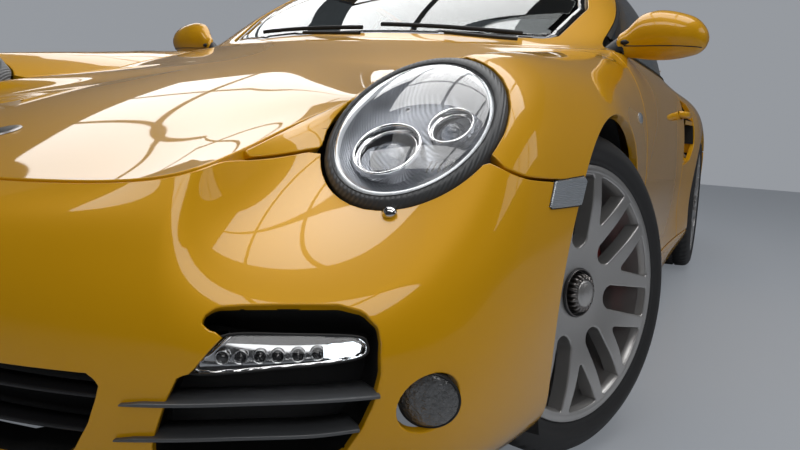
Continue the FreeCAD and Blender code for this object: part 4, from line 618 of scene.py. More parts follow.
leather = finish("grainedLeather", (0.04, 0.037, 0.035), 0.42, 0.0, 0.2, 0.1, 12.0, bump=(grain, 350.0, 0.4, 0.0008))
carpet = finish("cabinCarpet", (0.03, 0.03, 0.03), 0.95, 0.0, 0.4, 0.0, 250.0, bump=(grain, 1200.0, 0.8, 0.002))
headliner = finish("headliner", (0.10, 0.10, 0.10), 0.9, 0.0, 0.1, 0.0, 60.0)
print("finishes made")


# Camera, floor, backdrop and lights
view = {"place": (2.6169, 1.0742, 0.6417), "right": (-0.45610975, 0.8881469, 0.05620482),
        "up": (-0.10716531, -0.11751276, 0.98727218), "ahead": (-0.8834475, -0.44428126, -0.14877725), "lens": 29.25}
camera = bpy.data.objects.new("camera", bpy.data.cameras.new("camera"))
bpy.context.scene.collection.objects.link(camera)
camera.matrix_world = Matrix.Translation(view["place"]) @ Matrix(
    (view["right"], view["up"], tuple(-c for c in view["ahead"]))).transposed().to_4x4()
camera.data.lens, camera.data.sensor_width, camera.data.sensor_fit = view["lens"], 36.0, "HORIZONTAL"
camera.data.clip_start = 0.02
bpy.context.scene.camera = camera

studio = {"half": 14.0, "wall": -9.0, "floor": (0.42, 0.44, 0.47), "backdrop": (0.40, 0.42, 0.45), "world": 0.22,
          "gloss": 0.04, "shown": {"floor": (0.35, (0.36, 0.39, 0.43)), "backdrop": (0.8, (0.36, 0.38, 0.41)),
                                   "sideWall": (0.8, (0.36, 0.38, 0.41))}}


def stagePlane(name, corners, color, roughness):
    mesh = bpy.data.meshes.new(name)
    mesh.from_pydata(corners, [], [tuple(range(len(corners)))])
    plane = bpy.data.objects.new(name, mesh)
    bpy.context.scene.collection.objects.link(plane)
    mesh.materials.append(finish(name + "Finish", color, roughness, 0.0, 0.015, 0.01, 0.8, shown=studio["shown"][name]))


h, w = studio["half"], studio["wall"]
stagePlane("floor", [(w, -h, 0), (h, -h, 0), (h, h, 0), (w, h, 0)], studio["floor"], 0.28)
stagePlane("backdrop", [(w, -h, 0), (w, h, 0), (w, h, 8), (w, -h, 8)], studio["backdrop"], 0.8)
stagePlane("sideWall", [(h, -9, 0), (w, -9, 0), (w, -9, 8), (h, -9, 8)], studio["backdrop"], 0.8)
world = bpy.data.worlds.new("studioLight")
bpy.context.scene.world = world
world.use_nodes = True
world.node_tree.nodes["Background"].inputs["Color"].default_value = (0.80, 0.83, 0.88, 1)
path, level = world.node_tree.nodes.new("ShaderNodeLightPath"), world.node_tree.nodes.new("ShaderNodeMapRange")
level.inputs["To Min"].default_value, level.inputs["To Max"].default_value = studio["world"], studio["gloss"]
world.node_tree.links.new(path.outputs["Is Glossy Ray"], level.inputs["Value"])
world.node_tree.links.new(level.outputs["Result"], world.node_tree.nodes["Background"].inputs["Strength"])

# soft lights for colour, and window grids that only gloss shows: place, aim, width, height, radiance
softLights = [((1.0, 0.5, 4.5), (1.0, 0.0, 0.0), 5.0, 4.0, 2.0), ((5.5, 3.5, 2.5), (1.5, 0.5, 0.5), 3.0, 2.5, 2.4),
              ((-1.0, 6.0, 3.0), (0.0, 0.8, 0.5), 4.0, 2.5, 2.0)]
windowGrids = [((0.45, 0.6, 3.5), (0.45, 0.6, 0.0), 1.9, 3.6, 3.6, 2, 3),
               ((3.1, 0.6, 3.5), (3.1, 0.6, 0.0), 1.1, 4.6, 3.6, 1, 3),
               ((-2.2, -4.5, 3.5), (-2.2, -4.5, 0), 2.9, 3.1, 2.4, 3, 2),
               ((-0.6, 4.6, 3.0), (0.5, 0.8, 0.7), 2.6, 1.2, 1.2, 3, 1),
               ((-1.3, -1.2, 3.5), (-1.3, -1.2, 0), 2.8, 2.4, 3.0, 3, 2)]


def areaLight(name, place, aim, width, height, radiance, glossOnly):
    light = bpy.data.lights.new(name, "AREA")
    light.shape, light.size, light.size_y = "RECTANGLE", width, height
    light.energy = radiance * math.pi * width * height
    lamp = bpy.data.objects.new(name, light)
    lamp.matrix_world = (Matrix.Translation(place)
                         @ (Vector(aim) - Vector(place)).to_track_quat("-Z", "Y").to_matrix().to_4x4())
    bpy.context.scene.collection.objects.link(lamp)
    lamp.visible_camera = False
    lamp.visible_diffuse, lamp.visible_glossy = not glossOnly, glossOnly
    return lamp


for number, (place, aim, width, height, radiance) in enumerate(softLights):
    areaLight("softLight%d" % number, place, aim, width, height, radiance, False)
for number, (place, aim, width, height, radiance, across, down) in enumerate(windowGrids):
    turn = (Vector(aim) - Vector(place)).to_track_quat("-Z", "Y").to_matrix()
    for i in range(across):
        for j in range(down):
            shift = turn @ Vector(((i - (across - 1) / 2) * width / across, (j - (down - 1) / 2) * height / down, 0))
            areaLight("window%d_%d_%d" % (number, i, j), Vector(place) + shift, Vector(aim) + shift,
                      width / across * 0.93, height / down * 0.93, radiance, True)
bpy.context.scene.view_settings.view_transform = "Standard"
print("camera, floor and lights placed")


# Shut lines: each is a field that is positive inside its panel
seamKnots = arr((0, 7), (3, 7), (3.6, 6.4), (4.6, 5.35), (5, 5.0), (5.9, 4.5), (6.2, 1), (6.6, -6), (60, -6))
axles = {"frontX": 1.265, "rearX": -1.085, "frontZ": 0.323, "rearZ": 0.333, "frontArch": 0.365, "rearArch": 0.378}
doorEdge = {"front": 0.765, "rear": -0.405, "foot": 0.243}


def noseSeam(s):
    # softened by averaging a short stretch of the straight-line reading
    shifts = np.linspace(-0.12, 0.12, 7)
    return np.mean([np.interp(np.abs(s) + k, seamKnots[:, 0], seamKnots[:, 1]) for k in shifts], 0)


def leftSide(points):
    return points * np.where(points[..., 1:2] < 0, arr(1, -1, 1), 1.0)


def archField(which):
    x, z, r = axles[which + "X"], axles[which + "Z"], axles[which + "Arch"]
    return lambda p, s, t: np.hypot(p[..., 0] - x, p[..., 2] - z) - r


def lampField(p, s, t):
    q = leftSide(p) - headlamp["centre"]
    return np.hypot(q @ lampAcross / headlamp["width"], q @ lampUp / headlamp["length"]) - 1


def holeField(outline, plane, both=True):
    # outside a hole drawn in a projection of the sheet
    return lambda p, s, t: -outlineDistance(outline, (leftSide(p) if both else p)[..., plane])


outerIntake = arr((0.572, 0.4275), (0.591, 0.429), (0.643, 0.430), (0.681, 0.431), (0.708, 0.425), (0.728, 0.409),
                  (0.735, 0.390), (0.7385, 0.354), (0.733, 0.318), (0.7215, 0.286), (0.702, 0.251), (0.672, 0.222),
                  (0.640, 0.208), (0.600, 0.203), (0.530, 0.203), (0.507, 0.215), (0.515, 0.262), (0.535, 0.317),
                  (0.549, 0.350), (0.562, 0.355), (0.591, 0.403), (0.576, 0.403), (0.566, 0.410), (0.564, 0.419))
centreHalf = arr((0.455, 0.347), (0.466, 0.335), (0.461, 0.316), (0.448, 0.283), (0.424, 0.244), (0.392, 0.215))
centreIntake = np.concatenate([centreHalf, (centreHalf * arr(-1, 1))[::-1]])
foglamp = {"y": 0.779, "z": 0.309, "radius": 0.0375, "faces": (0.90, 0.40, -0.15)}
noseGrid = lines(1.5, 4.7, 641, 0.6, 4.4, 481)
nosePoint, noseNormal = onSheet(band, *noseGrid)


def noseAt(y, z):
    # point and normal of the bumper where a front view shows (y, z)
    k = np.unravel_index(np.argmin(np.hypot(nosePoint[..., 1] - y, nosePoint[..., 2] - z)), nosePoint.shape[:2])
    return nosePoint[k], noseNormal[k]


foglamp["centre"] = noseAt(foglamp["y"], foglamp["z"])[0]
foglamp["out"] = unit(arr(*foglamp["faces"]))


def fogField(p, s, t):
    q = leftSide(p) - foglamp["centre"]
    along = q @ foglamp["out"]
    return np.linalg.norm(q - along[..., None] * foglamp["out"], axis=-1) - foglamp["radius"]


def bandGrid(s0, s1, t0, t1, cell=0.0095):
    # grid on the lower body with cells of about one size; a row of its table is about 0.27 m, a column 0.085 m
    return lines(s0, s1, int((s1 - s0) * 0.27 / cell) + 1, t0, t1, int((t1 - t0) * 0.085 / cell) + 1)


def bottomEdge(p, s, t):
    return t * 0.06


def upperEdge(p, s, t):
    return (7 - t) * 0.08


bodyName = "body_shell"

# front bumper
s, t = bandGrid(-6.1, 6.1, 0, 7.06, 0.0082)
bodyPanel("bumperFrontSkin", bodyName, band, s, t,
          [lambda p, s, t: (noseSeam(s) - t) * 0.08, upperEdge, archField("front"), lampField,
           (holeField(outerIntake, [1, 2]), edge["radius"]),
           (holeField(centreIntake, [1, 2], False), edge["radius"]), (fogField, 0.003),
           (bottomEdge, 0.002)], paint, replaces=["front_bumper"], flange=0.010)
print("front bumper made")

scoopOutline = arr((-0.428, 0.560), (-0.428, 0.812), (-0.560, 0.802), (-0.625, 0.765), (-0.645, 0.700), (-0.640, 0.640),
                   (-0.560, 0.580))

# panels that come in a left and a right one
for side, flip in (("left", False), ("right", True)):
    s, t = bandGrid(2.9, 9.95, 0.6, 7.06)
    bodyPanel("wing_" + side, bodyName, band, s, t,
              [lambda p, s, t: (t - noseSeam(s)) * 0.08, upperEdge, archField("front"), lampField,
               lambda p, s, t: p[..., 0] - doorEdge["front"], lambda p, s, t: p[..., 2] - doorEdge["foot"]],
              paint, replaces=["fender_" + side], mirror=flip)
    s, t = bandGrid(9.9, 14.7, 0.6, 7.06)
    bodyPanel("doorSkin_" + side, "door_" + side, band, s, t,
              [lambda p, s, t: doorEdge["front"] - p[..., 0], lambda p, s, t: p[..., 0] - doorEdge["rear"],
               lambda p, s, t: p[..., 2] - doorEdge["foot"], upperEdge], paint, replaces=["door_" + side], mirror=flip,
              flange=0.088)

    def quarterFoot(p, s, t):
        return np.where(p[..., 0] > axles["rearX"], p[..., 2] - doorEdge["foot"], (t - 4.1) * 0.06)

    def scoopField(p, s, t):
        return -outlineDistance(scoopOutline, leftSide(p)[..., [0, 2]], 0.012)

    def lampBlock(p, s, t):
        return np.maximum((20.2 - s) * 0.2, (t - 5.65) * 0.06)
    s, t = bandGrid(14.4, 22.45, 0.6, 7.06)
    bodyPanel("quarterSkin_" + side, bodyName, band, s, t,
              [lambda p, s, t: doorEdge["rear"] - p[..., 0], quarterFoot, archField("rear"), upperEdge, lampBlock,
               (scoopField, 0.002),
               lambda p, s, t: (22.4 - s) * 0.2], paint, replaces=["quarter_" + side], mirror=flip)
    s, t = bandGrid(5.4, 19.2, 0, 2.6)
    bodyPanel("sillSkin_" + side, bodyName, band, s, t,
              [lambda p, s, t: doorEdge["foot"] - p[..., 2], archField("front"), archField("rear"),
               (bottomEdge, 0.002)], paint, replaces=["sills"] if side == "left" else (), mirror=flip)
    s, t = bandGrid(20.1, 22.5, 4.0, 5.8, 0.006)
    bodyPanel("tailLens_" + side, bodyName, band, s, t,
              [lambda p, s, t: (s - 20.2) * 0.2, lambda p, s, t: (22.4 - s) * 0.2, lambda p, s, t: (t - 4.1) * 0.06,
               lambda p, s, t: (5.65 - t) * 0.06], lensRed, "lamp_red", ["tail_lamps"] if side == "left" else (), flip)
print("side panels made")

# rear bumper
s, t = bandGrid(17.3, 30.7, 0, 7.06, 0.0105)
bodyPanel("bumperRearSkin", bodyName, band, s, t,
          [lambda p, s, t: np.maximum((4.1 - t) * 0.06, (1.6 - np.abs(s - 24)) * 0.2), upperEdge, archField("rear"),
           (bottomEdge, 0.002)], paint, replaces=["rear_bumper"])

# bonnet: its outline in plan is the inner edge of the lower body
rim = onSheet(band, np.linspace(0, 9, 181), 7.0)[0][:, :2]
rear = onSheet(bonnetSheet, 6.0, np.linspace(0, 4, 40))[0][:, :2]
bonnetHalf = np.concatenate([rim, rear])
bonnetOutline = np.concatenate([bonnetHalf, (bonnetHalf * arr(1, -1))[::-1]])


def bonnetEdge(p, s, t):
    return outlineDistance(bonnetOutline, p[..., :2])


s, t = lines(-0.12, 6.08, 150, -0.15, 8.15, 132)
bodyPanel("bonnetSkin", "bonnet", bonnetSheet, s, t, [bonnetEdge], paint, replaces=["bonnet"])
print("bonnet made")

# roof with its pillars, and the glass
sideWindow = arr((-0.940, 1.012), (-0.800, 1.094), (-0.520, 1.178), (-0.250, 1.214), (0.030, 1.206), (0.160, 1.184),
                 (0.292, 1.136), (0.548, 0.986), (0.715, 0.890))
quarterGlassFoot = arr((-0.940, 0.990), (-0.880, 0.925), (-0.800, 0.914), (-0.415, 0.908))
windowFoot = arr((0.730, 0.840), (-0.410, 0.840))
sideWindowOutline = np.concatenate([smoothPath(sideWindow, 8), windowFoot, quarterGlassFoot[::-1]])
windscreen = arr((0.858, 0), (0.846, 0.200), (0.812, 0.400), (0.758, 0.560), (0.730, 0.592), (0.548, 0.628),
                 (0.292, 0.556), (0.262, 0.530), (0.246, 0.300), (0.242, 0))
rearWindow = arr((-0.640, 0), (-0.640, 0.380), (-0.690, 0.425), (-1.280, 0.385), (-1.335, 0.340), (-1.345, 0))


def bothHalves(half):
    return np.concatenate([half, (half * arr(1, -1))[-2:0:-1]])


def sideHole(p, s, t):
    return np.maximum(-outlineDistance(sideWindowOutline, p[..., [0, 2]]), 0.46 - np.abs(p[..., 1]))


screenHole, rearHole = (holeField(bothHalves(half), [0, 1], False) for half in (windscreen, rearWindow))
s, t = lines(0.02, 9.36, 212, 0, 8, 156)
bodyPanel("roofSkin", bodyName, top, s, t,
          [lambda p, s, t: np.minimum(t, 8 - t) * 0.1, lambda p, s, t: s * 0.1,
           (screenHole, 0.003), (rearHole, 0.003), (sideHole, 0.003),
           lambda p, s, t: (9.32 - s) * 0.29], paint, replaces=["roof_shell"])
s, t = lines(9.3, 11.98, 74, 0.02, 7.98, 120)
lidEdges = [lambda p, s, t: (s - 9.32) * 0.29, lambda p, s, t: (11.96 - s) * 0.2,
            lambda p, s, t: np.minimum(t, 8 - t) * 0.08]
bodyPanel("engineLidSkin", "engine_lid", top, s, t, lidEdges, paint, replaces=["engine_lid"])
print("roof and engine lid made")


def pane(name, body, s, t, edges, material, depth=0.004, thickness=0.004, mirror=False, replaces=()):
    # glass or trim cut from the upper body's sheet
    piece = placeSheet(name, body, "window", cutSheet(top, s, t, edges, depth), material, mirror, replaces)
    if thickness:
        thicken(piece, thickness)


def insideOf(outline, plane):
    return lambda p, s, t: outlineDistance(outline, p[..., plane])


for name, half, s0, s1 in (("windscreen", windscreen, 0.9, 4.2), ("rearGlass", rearWindow, 5.8, 9.2)):
    outline = bothHalves(half)
    s, t = lines(s0, s1, 76, 0.7, 7.3, 96)
    pane(name, bodyName, s, t, [(insideOf(outline, [0, 1]), 0.028)], glassClear,
         replaces=["fixed_glass"] if name == "windscreen" else ())
    pane(name + "Frit", bodyName, s, t, [(insideOf(outline, [0, 1]), 0.004),
                                         (holeField(outline, [0, 1], False), -0.0285)],
         glossBlack)
print("glass made")


def turnedFaces(profileCount, count):
    return gridFaces(profileCount, count, closedColumns=True)


def turnedPoints(profile, axes, scale=(1.0, 1.0), count=96, centre=(0, 0)):
    # a profile of (radius, height) turned about the third axis; rising radius faces along it
    profile = np.asarray(profile, float)
    origin, x, y, z = axes
    angle = np.linspace(0, tau, count, endpoint=False)
    ring = (np.cos(angle)[:, None] * x * scale[0] + np.sin(angle)[:, None] * y * scale[1])
    return (origin + centre[0] * x + centre[1] * y + profile[:, None, :1] * ring[None] + profile[:, None, 1:] * z)


def addPair(name, body, slot, points, faces, material, normals=None, replaces=(), smooth=True):
    # the left piece and its mirror image; a %s in the body's name stands for the side
    bodies = [body.replace("%s", side) for side in ("left", "right")]
    return [addPiece(name + "_left", bodies[0], slot, points, faces, material, normals, smooth, replaces),
            addPiece(name + "_right", bodies[1], slot, mirrorY(points), flipped(faces), material,
                     None if normals is None else mirrorY(normals), smooth)]


def addRound(name, axes, profile, material, slot="lamp_clear", scale=(1.0, 1.0), centre=(0, 0), count=96, replaces=()):
    # turned piece on both sides
    points = turnedPoints(profile, axes, scale, count, centre)
    return addPair(name, bodyName, slot, points, turnedFaces(len(profile), count), material, replaces=replaces)


def addTurned(name, body, slot, profile, axes, material, count=48, scale=(1, 1), replaces=()):
    # turned piece that comes once
    points = turnedPoints(profile, axes, scale, count)
    return addPiece(name, body, slot, points, turnedFaces(len(profile), count), material, replaces=replaces)


def roundBead(radius, tube, height=0.0, steps=10):
    # closed profile of a ring: a small circle round the ring's radius
    a = np.linspace(0, tau, steps + 1)
    return np.stack([radius + tube * np.sin(a), height - tube * np.cos(a)], -1)


# headlamp: surround, seal, lens, light ring, bowl and two projectors, on the lamp's own axes
lampAxes = (headlamp["centre"], lampAcross, lampUp, lampOut)
lens = {"across": 0.123, "up": 0.150, "centre": (-0.001, -0.004), "edge": 0.006, "dome": 0.027}
lensScale = (lens["across"], lens["up"])
outerScale = (headlamp["width"] - 0.0022, headlamp["length"] - 0.0022)
steps = np.linspace(0, 1, 7)[:, None, None]
angle = np.linspace(0, tau, 192, endpoint=False)


def ellipse(scale, centre, height):
    return (headlamp["centre"] + (np.cos(angle)[:, None] * scale[0] + centre[0]) * lampAcross
            + (np.sin(angle)[:, None] * scale[1] + centre[1]) * lampUp + height * lampOut)


inner, outer = ellipse(lensScale, lens["centre"], lens["edge"]), ellipse(outerScale, (0, 0), -0.001)
bulge = 0.004 * np.sin(math.pi * steps)
points = inner * (1 - steps) + outer * steps + bulge * lampOut
points = np.concatenate([ellipse((lens["across"] - 0.002, lens["up"] - 0.002), lens["centre"], -0.012)[None], points,
                         ellipse(outerScale, (0, 0), -0.030)[None]])
surroundGrey = finish("ribbedSurround", (0.045, 0.047, 0.05), 0.42, 0.0, 0.1, 0.05, 30.0,
                      bump=(ribs, 60.0, 0.5, 0.001), ribTurn=(0.4, 0.3, 0.9))
addPair("lampSurround", bodyName, "trim_black", points, turnedFaces(len(points), 192), surroundGrey,
        replaces=["headlamps"])
addRound("lampSeal", lampAxes, [(1.0, -0.012), (1.0, 0.0045), (1.006, 0.0072), (1.016, 0.0075), (1.022, 0.004),
                                (1.024, -0.01)],
         rubberBlack, slot="trim_black", scale=lensScale, centre=lens["centre"], count=160)
radii = np.linspace(0.0005, 1.0, 26)
dome = [(r, lens["edge"] + lens["dome"] * (1 - r ** 2.4) ** 0.85 - (0.0 if r < 0.999 else 0.008)) for r in radii]
for piece in addRound("lampLens", lampAxes, dome, lensClear, scale=lensScale, centre=lens["centre"], count=128):
    thicken(piece, 0.0025)
ringWhite = finish("lightRing", (0.70, 0.73, 0.76), 0.25, 0.4, 0.0, 0.0,
                   sockets={"Coat Weight": 1.0, "Emission Strength": 0.12,
                   "Emission Color": (0.9, 0.95, 1.0, 1)})
bowlSilver = finish("lampBowl", (0.17, 0.18, 0.20), 0.30, 0.8, 0.1, 0.06, 30.0, bump=(ribs, 75.0, 0.35, 0.0012),
                    ribTurn=(0, 0.3, 0.35))
bowlDark = finish("lampBowlDark", (0.05, 0.05, 0.055), 0.3, 0.6, 0.1, 0.06, 30.0)
projector = finish("projectorGlass", (0.35, 0.38, 0.42), 0.05, 0.0, 0.0, 0.0,
                   sockets={"Transmission Weight": 1.0, "IOR": 1.5},
                   seeThrough=(0.8, 0.8, 0.8))
addRound("lampLightRing", lampAxes, [(0.925, -0.004), (0.935, 0.003), (0.95, 0.0055), (0.968, 0.0035), (0.975, -0.004)],
         ringWhite, scale=lensScale, centre=lens["centre"], count=160)
addRound("lampBowl", lampAxes, [(0.02, -0.048), (0.30, -0.046), (0.55, -0.040), (0.75, -0.028), (0.88, -0.012),
                                (0.93, -0.003)],
         bowlSilver, scale=lensScale, centre=lens["centre"], count=128)
lowBeam, highBeam = {"at": (-0.038, -0.038), "radius": 0.054, "up": 0.056}, {"at": (0.044, 0.030), "radius": 0.036,
                                                                             "up": 0.040}
for label, beam, floor in (("low", lowBeam, -0.022), ("high", highBeam, -0.030)):
    scale = (beam["radius"], beam["up"])
    addRound(label + "BeamRing", lampAxes, [(0.90, floor - 0.012), (0.93, floor + 0.004), (0.97, floor + 0.008),
             (1.02, floor + 0.006), (1.05, floor - 0.002), (1.06, floor - 0.03)], chrome, scale=scale, centre=beam["at"])
    addRound(label + "BeamInnerRing", lampAxes, [(0.80, floor - 0.02), (0.82, floor - 0.003), (0.86, floor - 0.001),
             (0.90, floor - 0.008)], chrome, scale=scale, centre=beam["at"])
    addRound(label + "BeamWell", lampAxes, [(0.02, floor - 0.045), (0.45, floor - 0.040), (0.72, floor - 0.026),
             (0.82, floor - 0.006)], bowlDark, scale=scale, centre=beam["at"])
    ball = [(0.70 * math.sin(a), floor - 0.030 + 0.034 * math.cos(a)) for a in np.linspace(0.01, 1.5, 14)]
    addRound(label + "BeamGlass", lampAxes, ball, projector, scale=scale, centre=beam["at"])

# five slits beside the low beam, and the washer nozzle under the rim
slit = {"at": (0.052, -0.050), "step": 0.0085, "half": (0.0018, 0.012), "height": -0.0335}
for k in range(5):
    c = arr(slit["at"][0] + (k - 2) * slit["step"], slit["at"][1] + (k - 2) * 0.002)
    corners = arr((-1, -1), (1, -1), (1.6, 1), (-0.4, 1)) * slit["half"]
    p = [headlamp["centre"] + (c[0] + x) * lampAcross + (c[1] + y) * lampUp + slit["height"] * lampOut for x,
         y in corners]
    addPair("lampSlit%d" % k, bodyName, "trim_black", np.array(p), [(0, 1, 2, 3)], glossBlack)
washerAxes = (headlamp["centre"] + 0.033 * lampAcross - 0.181 * lampUp, lampAcross, unit(lampUp + lampOut * 0.2),
              unit(lampOut - lampUp * 0.25))
addRound("washerCap", washerAxes, [(0.0003, 0.0125), (0.006, 0.0118), (0.0098, 0.009), (0.0112, 0.004), (0.0115, -0.006)],
         chrome, slot="trim_black", scale=(1.0, 0.85), count=40)
print("headlamps made")


def sheetOutline(outline):
    # field that is positive inside an outline given in the sheet's own numbers
    scale = arr(0.2, 0.08)
    return lambda p, s, t: outlineDistance(outline * scale, np.stack([s * scale[0], t * scale[1]], -1))


def sheetPatch(name, outline, depth, material, slot, cell=0.004, grow=0.0, wall=0.0, rim=0.0, extra=(), flange=0.006):
    # piece of the lower body's sheet, sunk or raised by its depth, on both sides of the car
    low, high = outline.min(0) - 0.06, outline.max(0) + 0.06
    s = np.linspace(low[0], high[0], int((high[0] - low[0]) * 0.24 / cell) + 2)[:, None]
    t = np.linspace(low[1], high[1], int((high[1] - low[1]) * 0.085 / cell) + 2)[None, :]
    points, normals, faces = cutSheet(band, s, t, [(sheetOutline(outline), rim - grow), *extra], depth)
    if rim:
        points, normals, faces = rolledEdge(points, normals, faces, rim, flange)
    for piece in addPair(name, bodyName, slot, points, faces, material, normals):
        if wall:
            thicken(piece, wall)


def axesOf(origin, out):
    # origin, level axis, upward axis and outward axis of a round part, right-handed
    level = unit(np.cross(arr(0, 0, 1), out))
    return origin, level, np.cross(out, level), out


def axesAt(sheet, s, t, depth=0.0):
    point, normal = onSheet(sheet, s, t)
    return axesOf(point - depth * normal, normal)


def tube(path, radius, count=12, closed=False, squash=(1.0, 1.0), up=(0, 0, 1)):
    # circles carried along a path, each across its direction
    path = np.asarray(path, float)
    radius = np.broadcast_to(np.asarray(radius, float), (len(path),))
    run = unit(np.roll(path, -1, 0) - np.roll(path, 1, 0)) if closed else unit(np.gradient(path, axis=0))
    sideways = unit(np.cross(run, np.asarray(up, float)))
    over = np.cross(sideways, run)
    a = np.linspace(0, tau, count, endpoint=False)
    cosine, sine = np.cos(a)[None, :, None], np.sin(a)[None, :, None]
    ring = cosine * sideways[:, None] * squash[0] + sine * over[:, None] * squash[1]
    return path[:, None] + radius[:, None, None] * ring, gridFaces(len(path), count, closed, True)


def addTube(name, body, slot, path, radius, material, both=True, replaces=(), **more):
    points, faces = tube(path, radius, **more)
    (addPair if both else addPiece)(name, body, slot, points, faces, material, replaces=replaces)


# near-black for dark plastics, and for openings, holes and hollows where it is painted shade
blackAndPaintedShade = finish("blackWithPaintedShade", (0.004, 0.004, 0.004), 0.7, 0.0, 0.05, 0.05, 20.0)
lampOn = finish("lampOn", (0.9, 0.95, 1.0), 0.3, 0.0, 0.0, 0.0,
                sockets={"Emission Strength": 2.2, "Emission Color": (0.86, 0.94, 1, 1)})
cellDark = finish("lampCell", (0.012, 0.012, 0.013), 0.08, 0.3, 0.0, 0.0, sockets={"Coat Weight": 1.0})
housingChrome = finish("lampHousing", (0.55, 0.56, 0.57), 0.12, 0.95, 0.15, 0.08, 45.0)
markerClear = finish("markerLens", (0.34, 0.37, 0.40), 0.10, 0.35, 0.1, 0.05, 50.0, bump=(ribs, 120.0, 0.7, 0.0015),
                     sockets={"Coat Weight": 1.0, "Coat Roughness": 0.02}, ribTurn=(0, 1.5708, 0))

# dark ducts behind the intakes: a wall round each opening and a back plate, both near-black, which paints the shade
# inside the openings
duct = {"start": 0.010, "depth": 0.075, "middle": 0.33}
for label, ring, closed in (("outerDuct", outerIntake, True),
                            ("centreDuct", np.concatenate([[(0.0, 0.215)], centreHalf[::-1], [(0.0, 0.347)]]), False)):
    rim, out = [], []
    for y, z in smoothPath(ring, 4, closed):
        # near the middle the nose is read on its own row, at the height asked for
        point, normal = noseAt(y, z) if y > duct["middle"] else onSheet(band, y / 0.245, 2.0)
        rim.append(point if y > duct["middle"] else point * arr(1, 1, 0) + arr(0, 0, z))
        out.append(normal)
    rim, out = np.array(rim), np.array(out)
    addPair(label + "Wall", bodyName, "trim_black", np.stack([rim - duct["start"] * out, rim - duct["depth"] * out]),
            gridFaces(2, len(rim), closedColumns=closed), blackAndPaintedShade)
backOutline = arr((1.9, 0.7), (3.85, 0.7), (3.85, 4.35), (1.9, 4.35))
sheetPatch("outerDuctBack", backOutline, duct["depth"] - 0.004, blackAndPaintedShade, "trim_black", 0.02)
s, t = lines(-2.1, 2.1, 60, 0.7, 3.4, 16)
points, normals = onSheet(band, s, t)
points = points - (duct["depth"] - 0.004) * normals
addPiece("centreDuctBack", bodyName, "trim_black", points, gridFaces(60, 16), blackAndPaintedShade)


def blade(name, knots, depth, thickness, lift, material, ends=(0.2, 0.06), both=True, replaces=()):
    # flat blade: its front edge follows knots on the sheet, its back edge lies level behind it
    curve = smoothPath(knots, 14)
    u = np.linspace(0, 1, len(curve))[:, None]
    point, normal = onSheet(band, curve[:, 0], curve[:, 1])
    level = unit(normal * arr(1, 1, 0))
    front = point + lift * level
    wide = depth * np.minimum(1, np.minimum((u + 0.01) / ends[0], (1.01 - u) / ends[1])) ** 0.8
    thick = thickness * np.minimum(1, (u + 0.08) / ends[0])
    up = arr(0, 0, 1)
    nose = thick * 0.45
    section = [(-wide, 0), (0, 0), (nose * 0.8, thick * 0.15), (nose, thick * 0.5), (nose * 0.8, thick * 0.85),
               (0, thick),
               (-wide * 0.5, thick), (-wide, thick * 1.05)]
    rows = np.stack([front + a * level + b * up for a, b in section])
    faces = gridFaces(len(section), len(curve), closedRows=True)[:, ::-1]
    (addPair if both else addPiece)(name, bodyName, "trim_black", rows, faces, material, replaces=replaces)


blade("upperSlat", arr((2.05, 2.57), (2.32, 2.60), (2.78, 2.67), (3.27, 2.72), (3.60, 2.75)), 0.046, 0.005, 0.006,
      slatGrey,
      replaces=["intake_slats"])
blade("lowerSlat", arr((2.00, 2.01), (2.25, 2.06), (2.71, 2.14), (3.14, 2.18), (3.46, 2.25)), 0.046, 0.005, 0.006,
      slatGrey)
for k, (height, half) in enumerate(((1.25, 1.66), (1.85, 1.78), (2.45, 1.86))):
    across = np.linspace(-half, half, 9)
    blade("centreSlat%d" % k, np.stack([across, np.full(9, height)], -1), 0.03, 0.006, -0.030, blackSteel, (0.02, 0.02),
          False)

# daytime lamp: housing, dark upper band, eight cells, clear cover and a bright rim
daytime = {"outline": arr((2.43, 3.06), (2.54, 3.43), (2.65, 3.74), (3.09, 3.77), (3.46, 3.71), (3.53, 3.57),
                          (3.52, 3.40),
                          (3.38, 3.30), (2.96, 3.19)),
           "cells": arr((2.60, 3.30), (2.71, 3.32), (2.83, 3.345), (2.94, 3.365), (3.07, 3.39), (3.20, 3.42),
                        (3.31, 3.455),
                        (3.42, 3.49)), "radius": 0.0085}
sheetPatch("daytimeHousing", daytime["outline"], 0.026, housingChrome, "lamp_clear", 0.003, rim=0.001)
upperBand = arr((2.60, 3.58), (2.65, 3.74), (3.09, 3.77), (3.46, 3.71), (3.50, 3.63), (3.05, 3.60))
sheetPatch("daytimeUpperBand", upperBand, 0.012, glossBlack, "lamp_clear", 0.003)
sheetPatch("daytimeCover", daytime["outline"], 0.006, lensClear, "lamp_clear", 0.003, wall=0.002)
rimPath = smoothPath(daytime["outline"], 6, closed=True)
point, normal = onSheet(band, rimPath[:, 0], rimPath[:, 1])
addTube("daytimeRim", bodyName, "lamp_clear", point - 0.006 * normal, 0.0016, rubberBlack, closed=True, count=8)
brightPath = smoothPath(arr((3.36, 3.315), (2.96, 3.215), (2.47, 3.10), (2.56, 3.42), (2.66, 3.70)), 10)
point, normal = onSheet(band, brightPath[:, 0], brightPath[:, 1])
addTube("daytimeBrightEdge", bodyName, "lamp_clear", point - 0.010 * normal, 0.0014, chrome, count=8)
for k, (s, t) in enumerate(daytime["cells"]):
    lit = k >= 6
    axes = axesAt(band, s, t, 0.024)
    r = daytime["radius"] * (1.25 if lit else 1.0)
    addRound("daytimeCell%d" % k, axes, [(r * 0.62, -0.001), (r * 0.75, 0.005), (r * 0.95, 0.0075), (r * 1.05, 0.006),
             (r * 1.1, -0.002)], housingChrome, count=28)
    addRound("daytimeLens%d" % k, axes, [(r * math.sin(a) * 0.82, 0.0005 + 0.006 * math.cos(a)) for a in
             np.linspace(0.02, 1.5, 8)], lampOn if lit else cellDark, count=28)
litPatch = arr((3.24, 3.34), (3.24, 3.58), (3.44, 3.63), (3.50, 3.55), (3.49, 3.42), (3.36, 3.33))
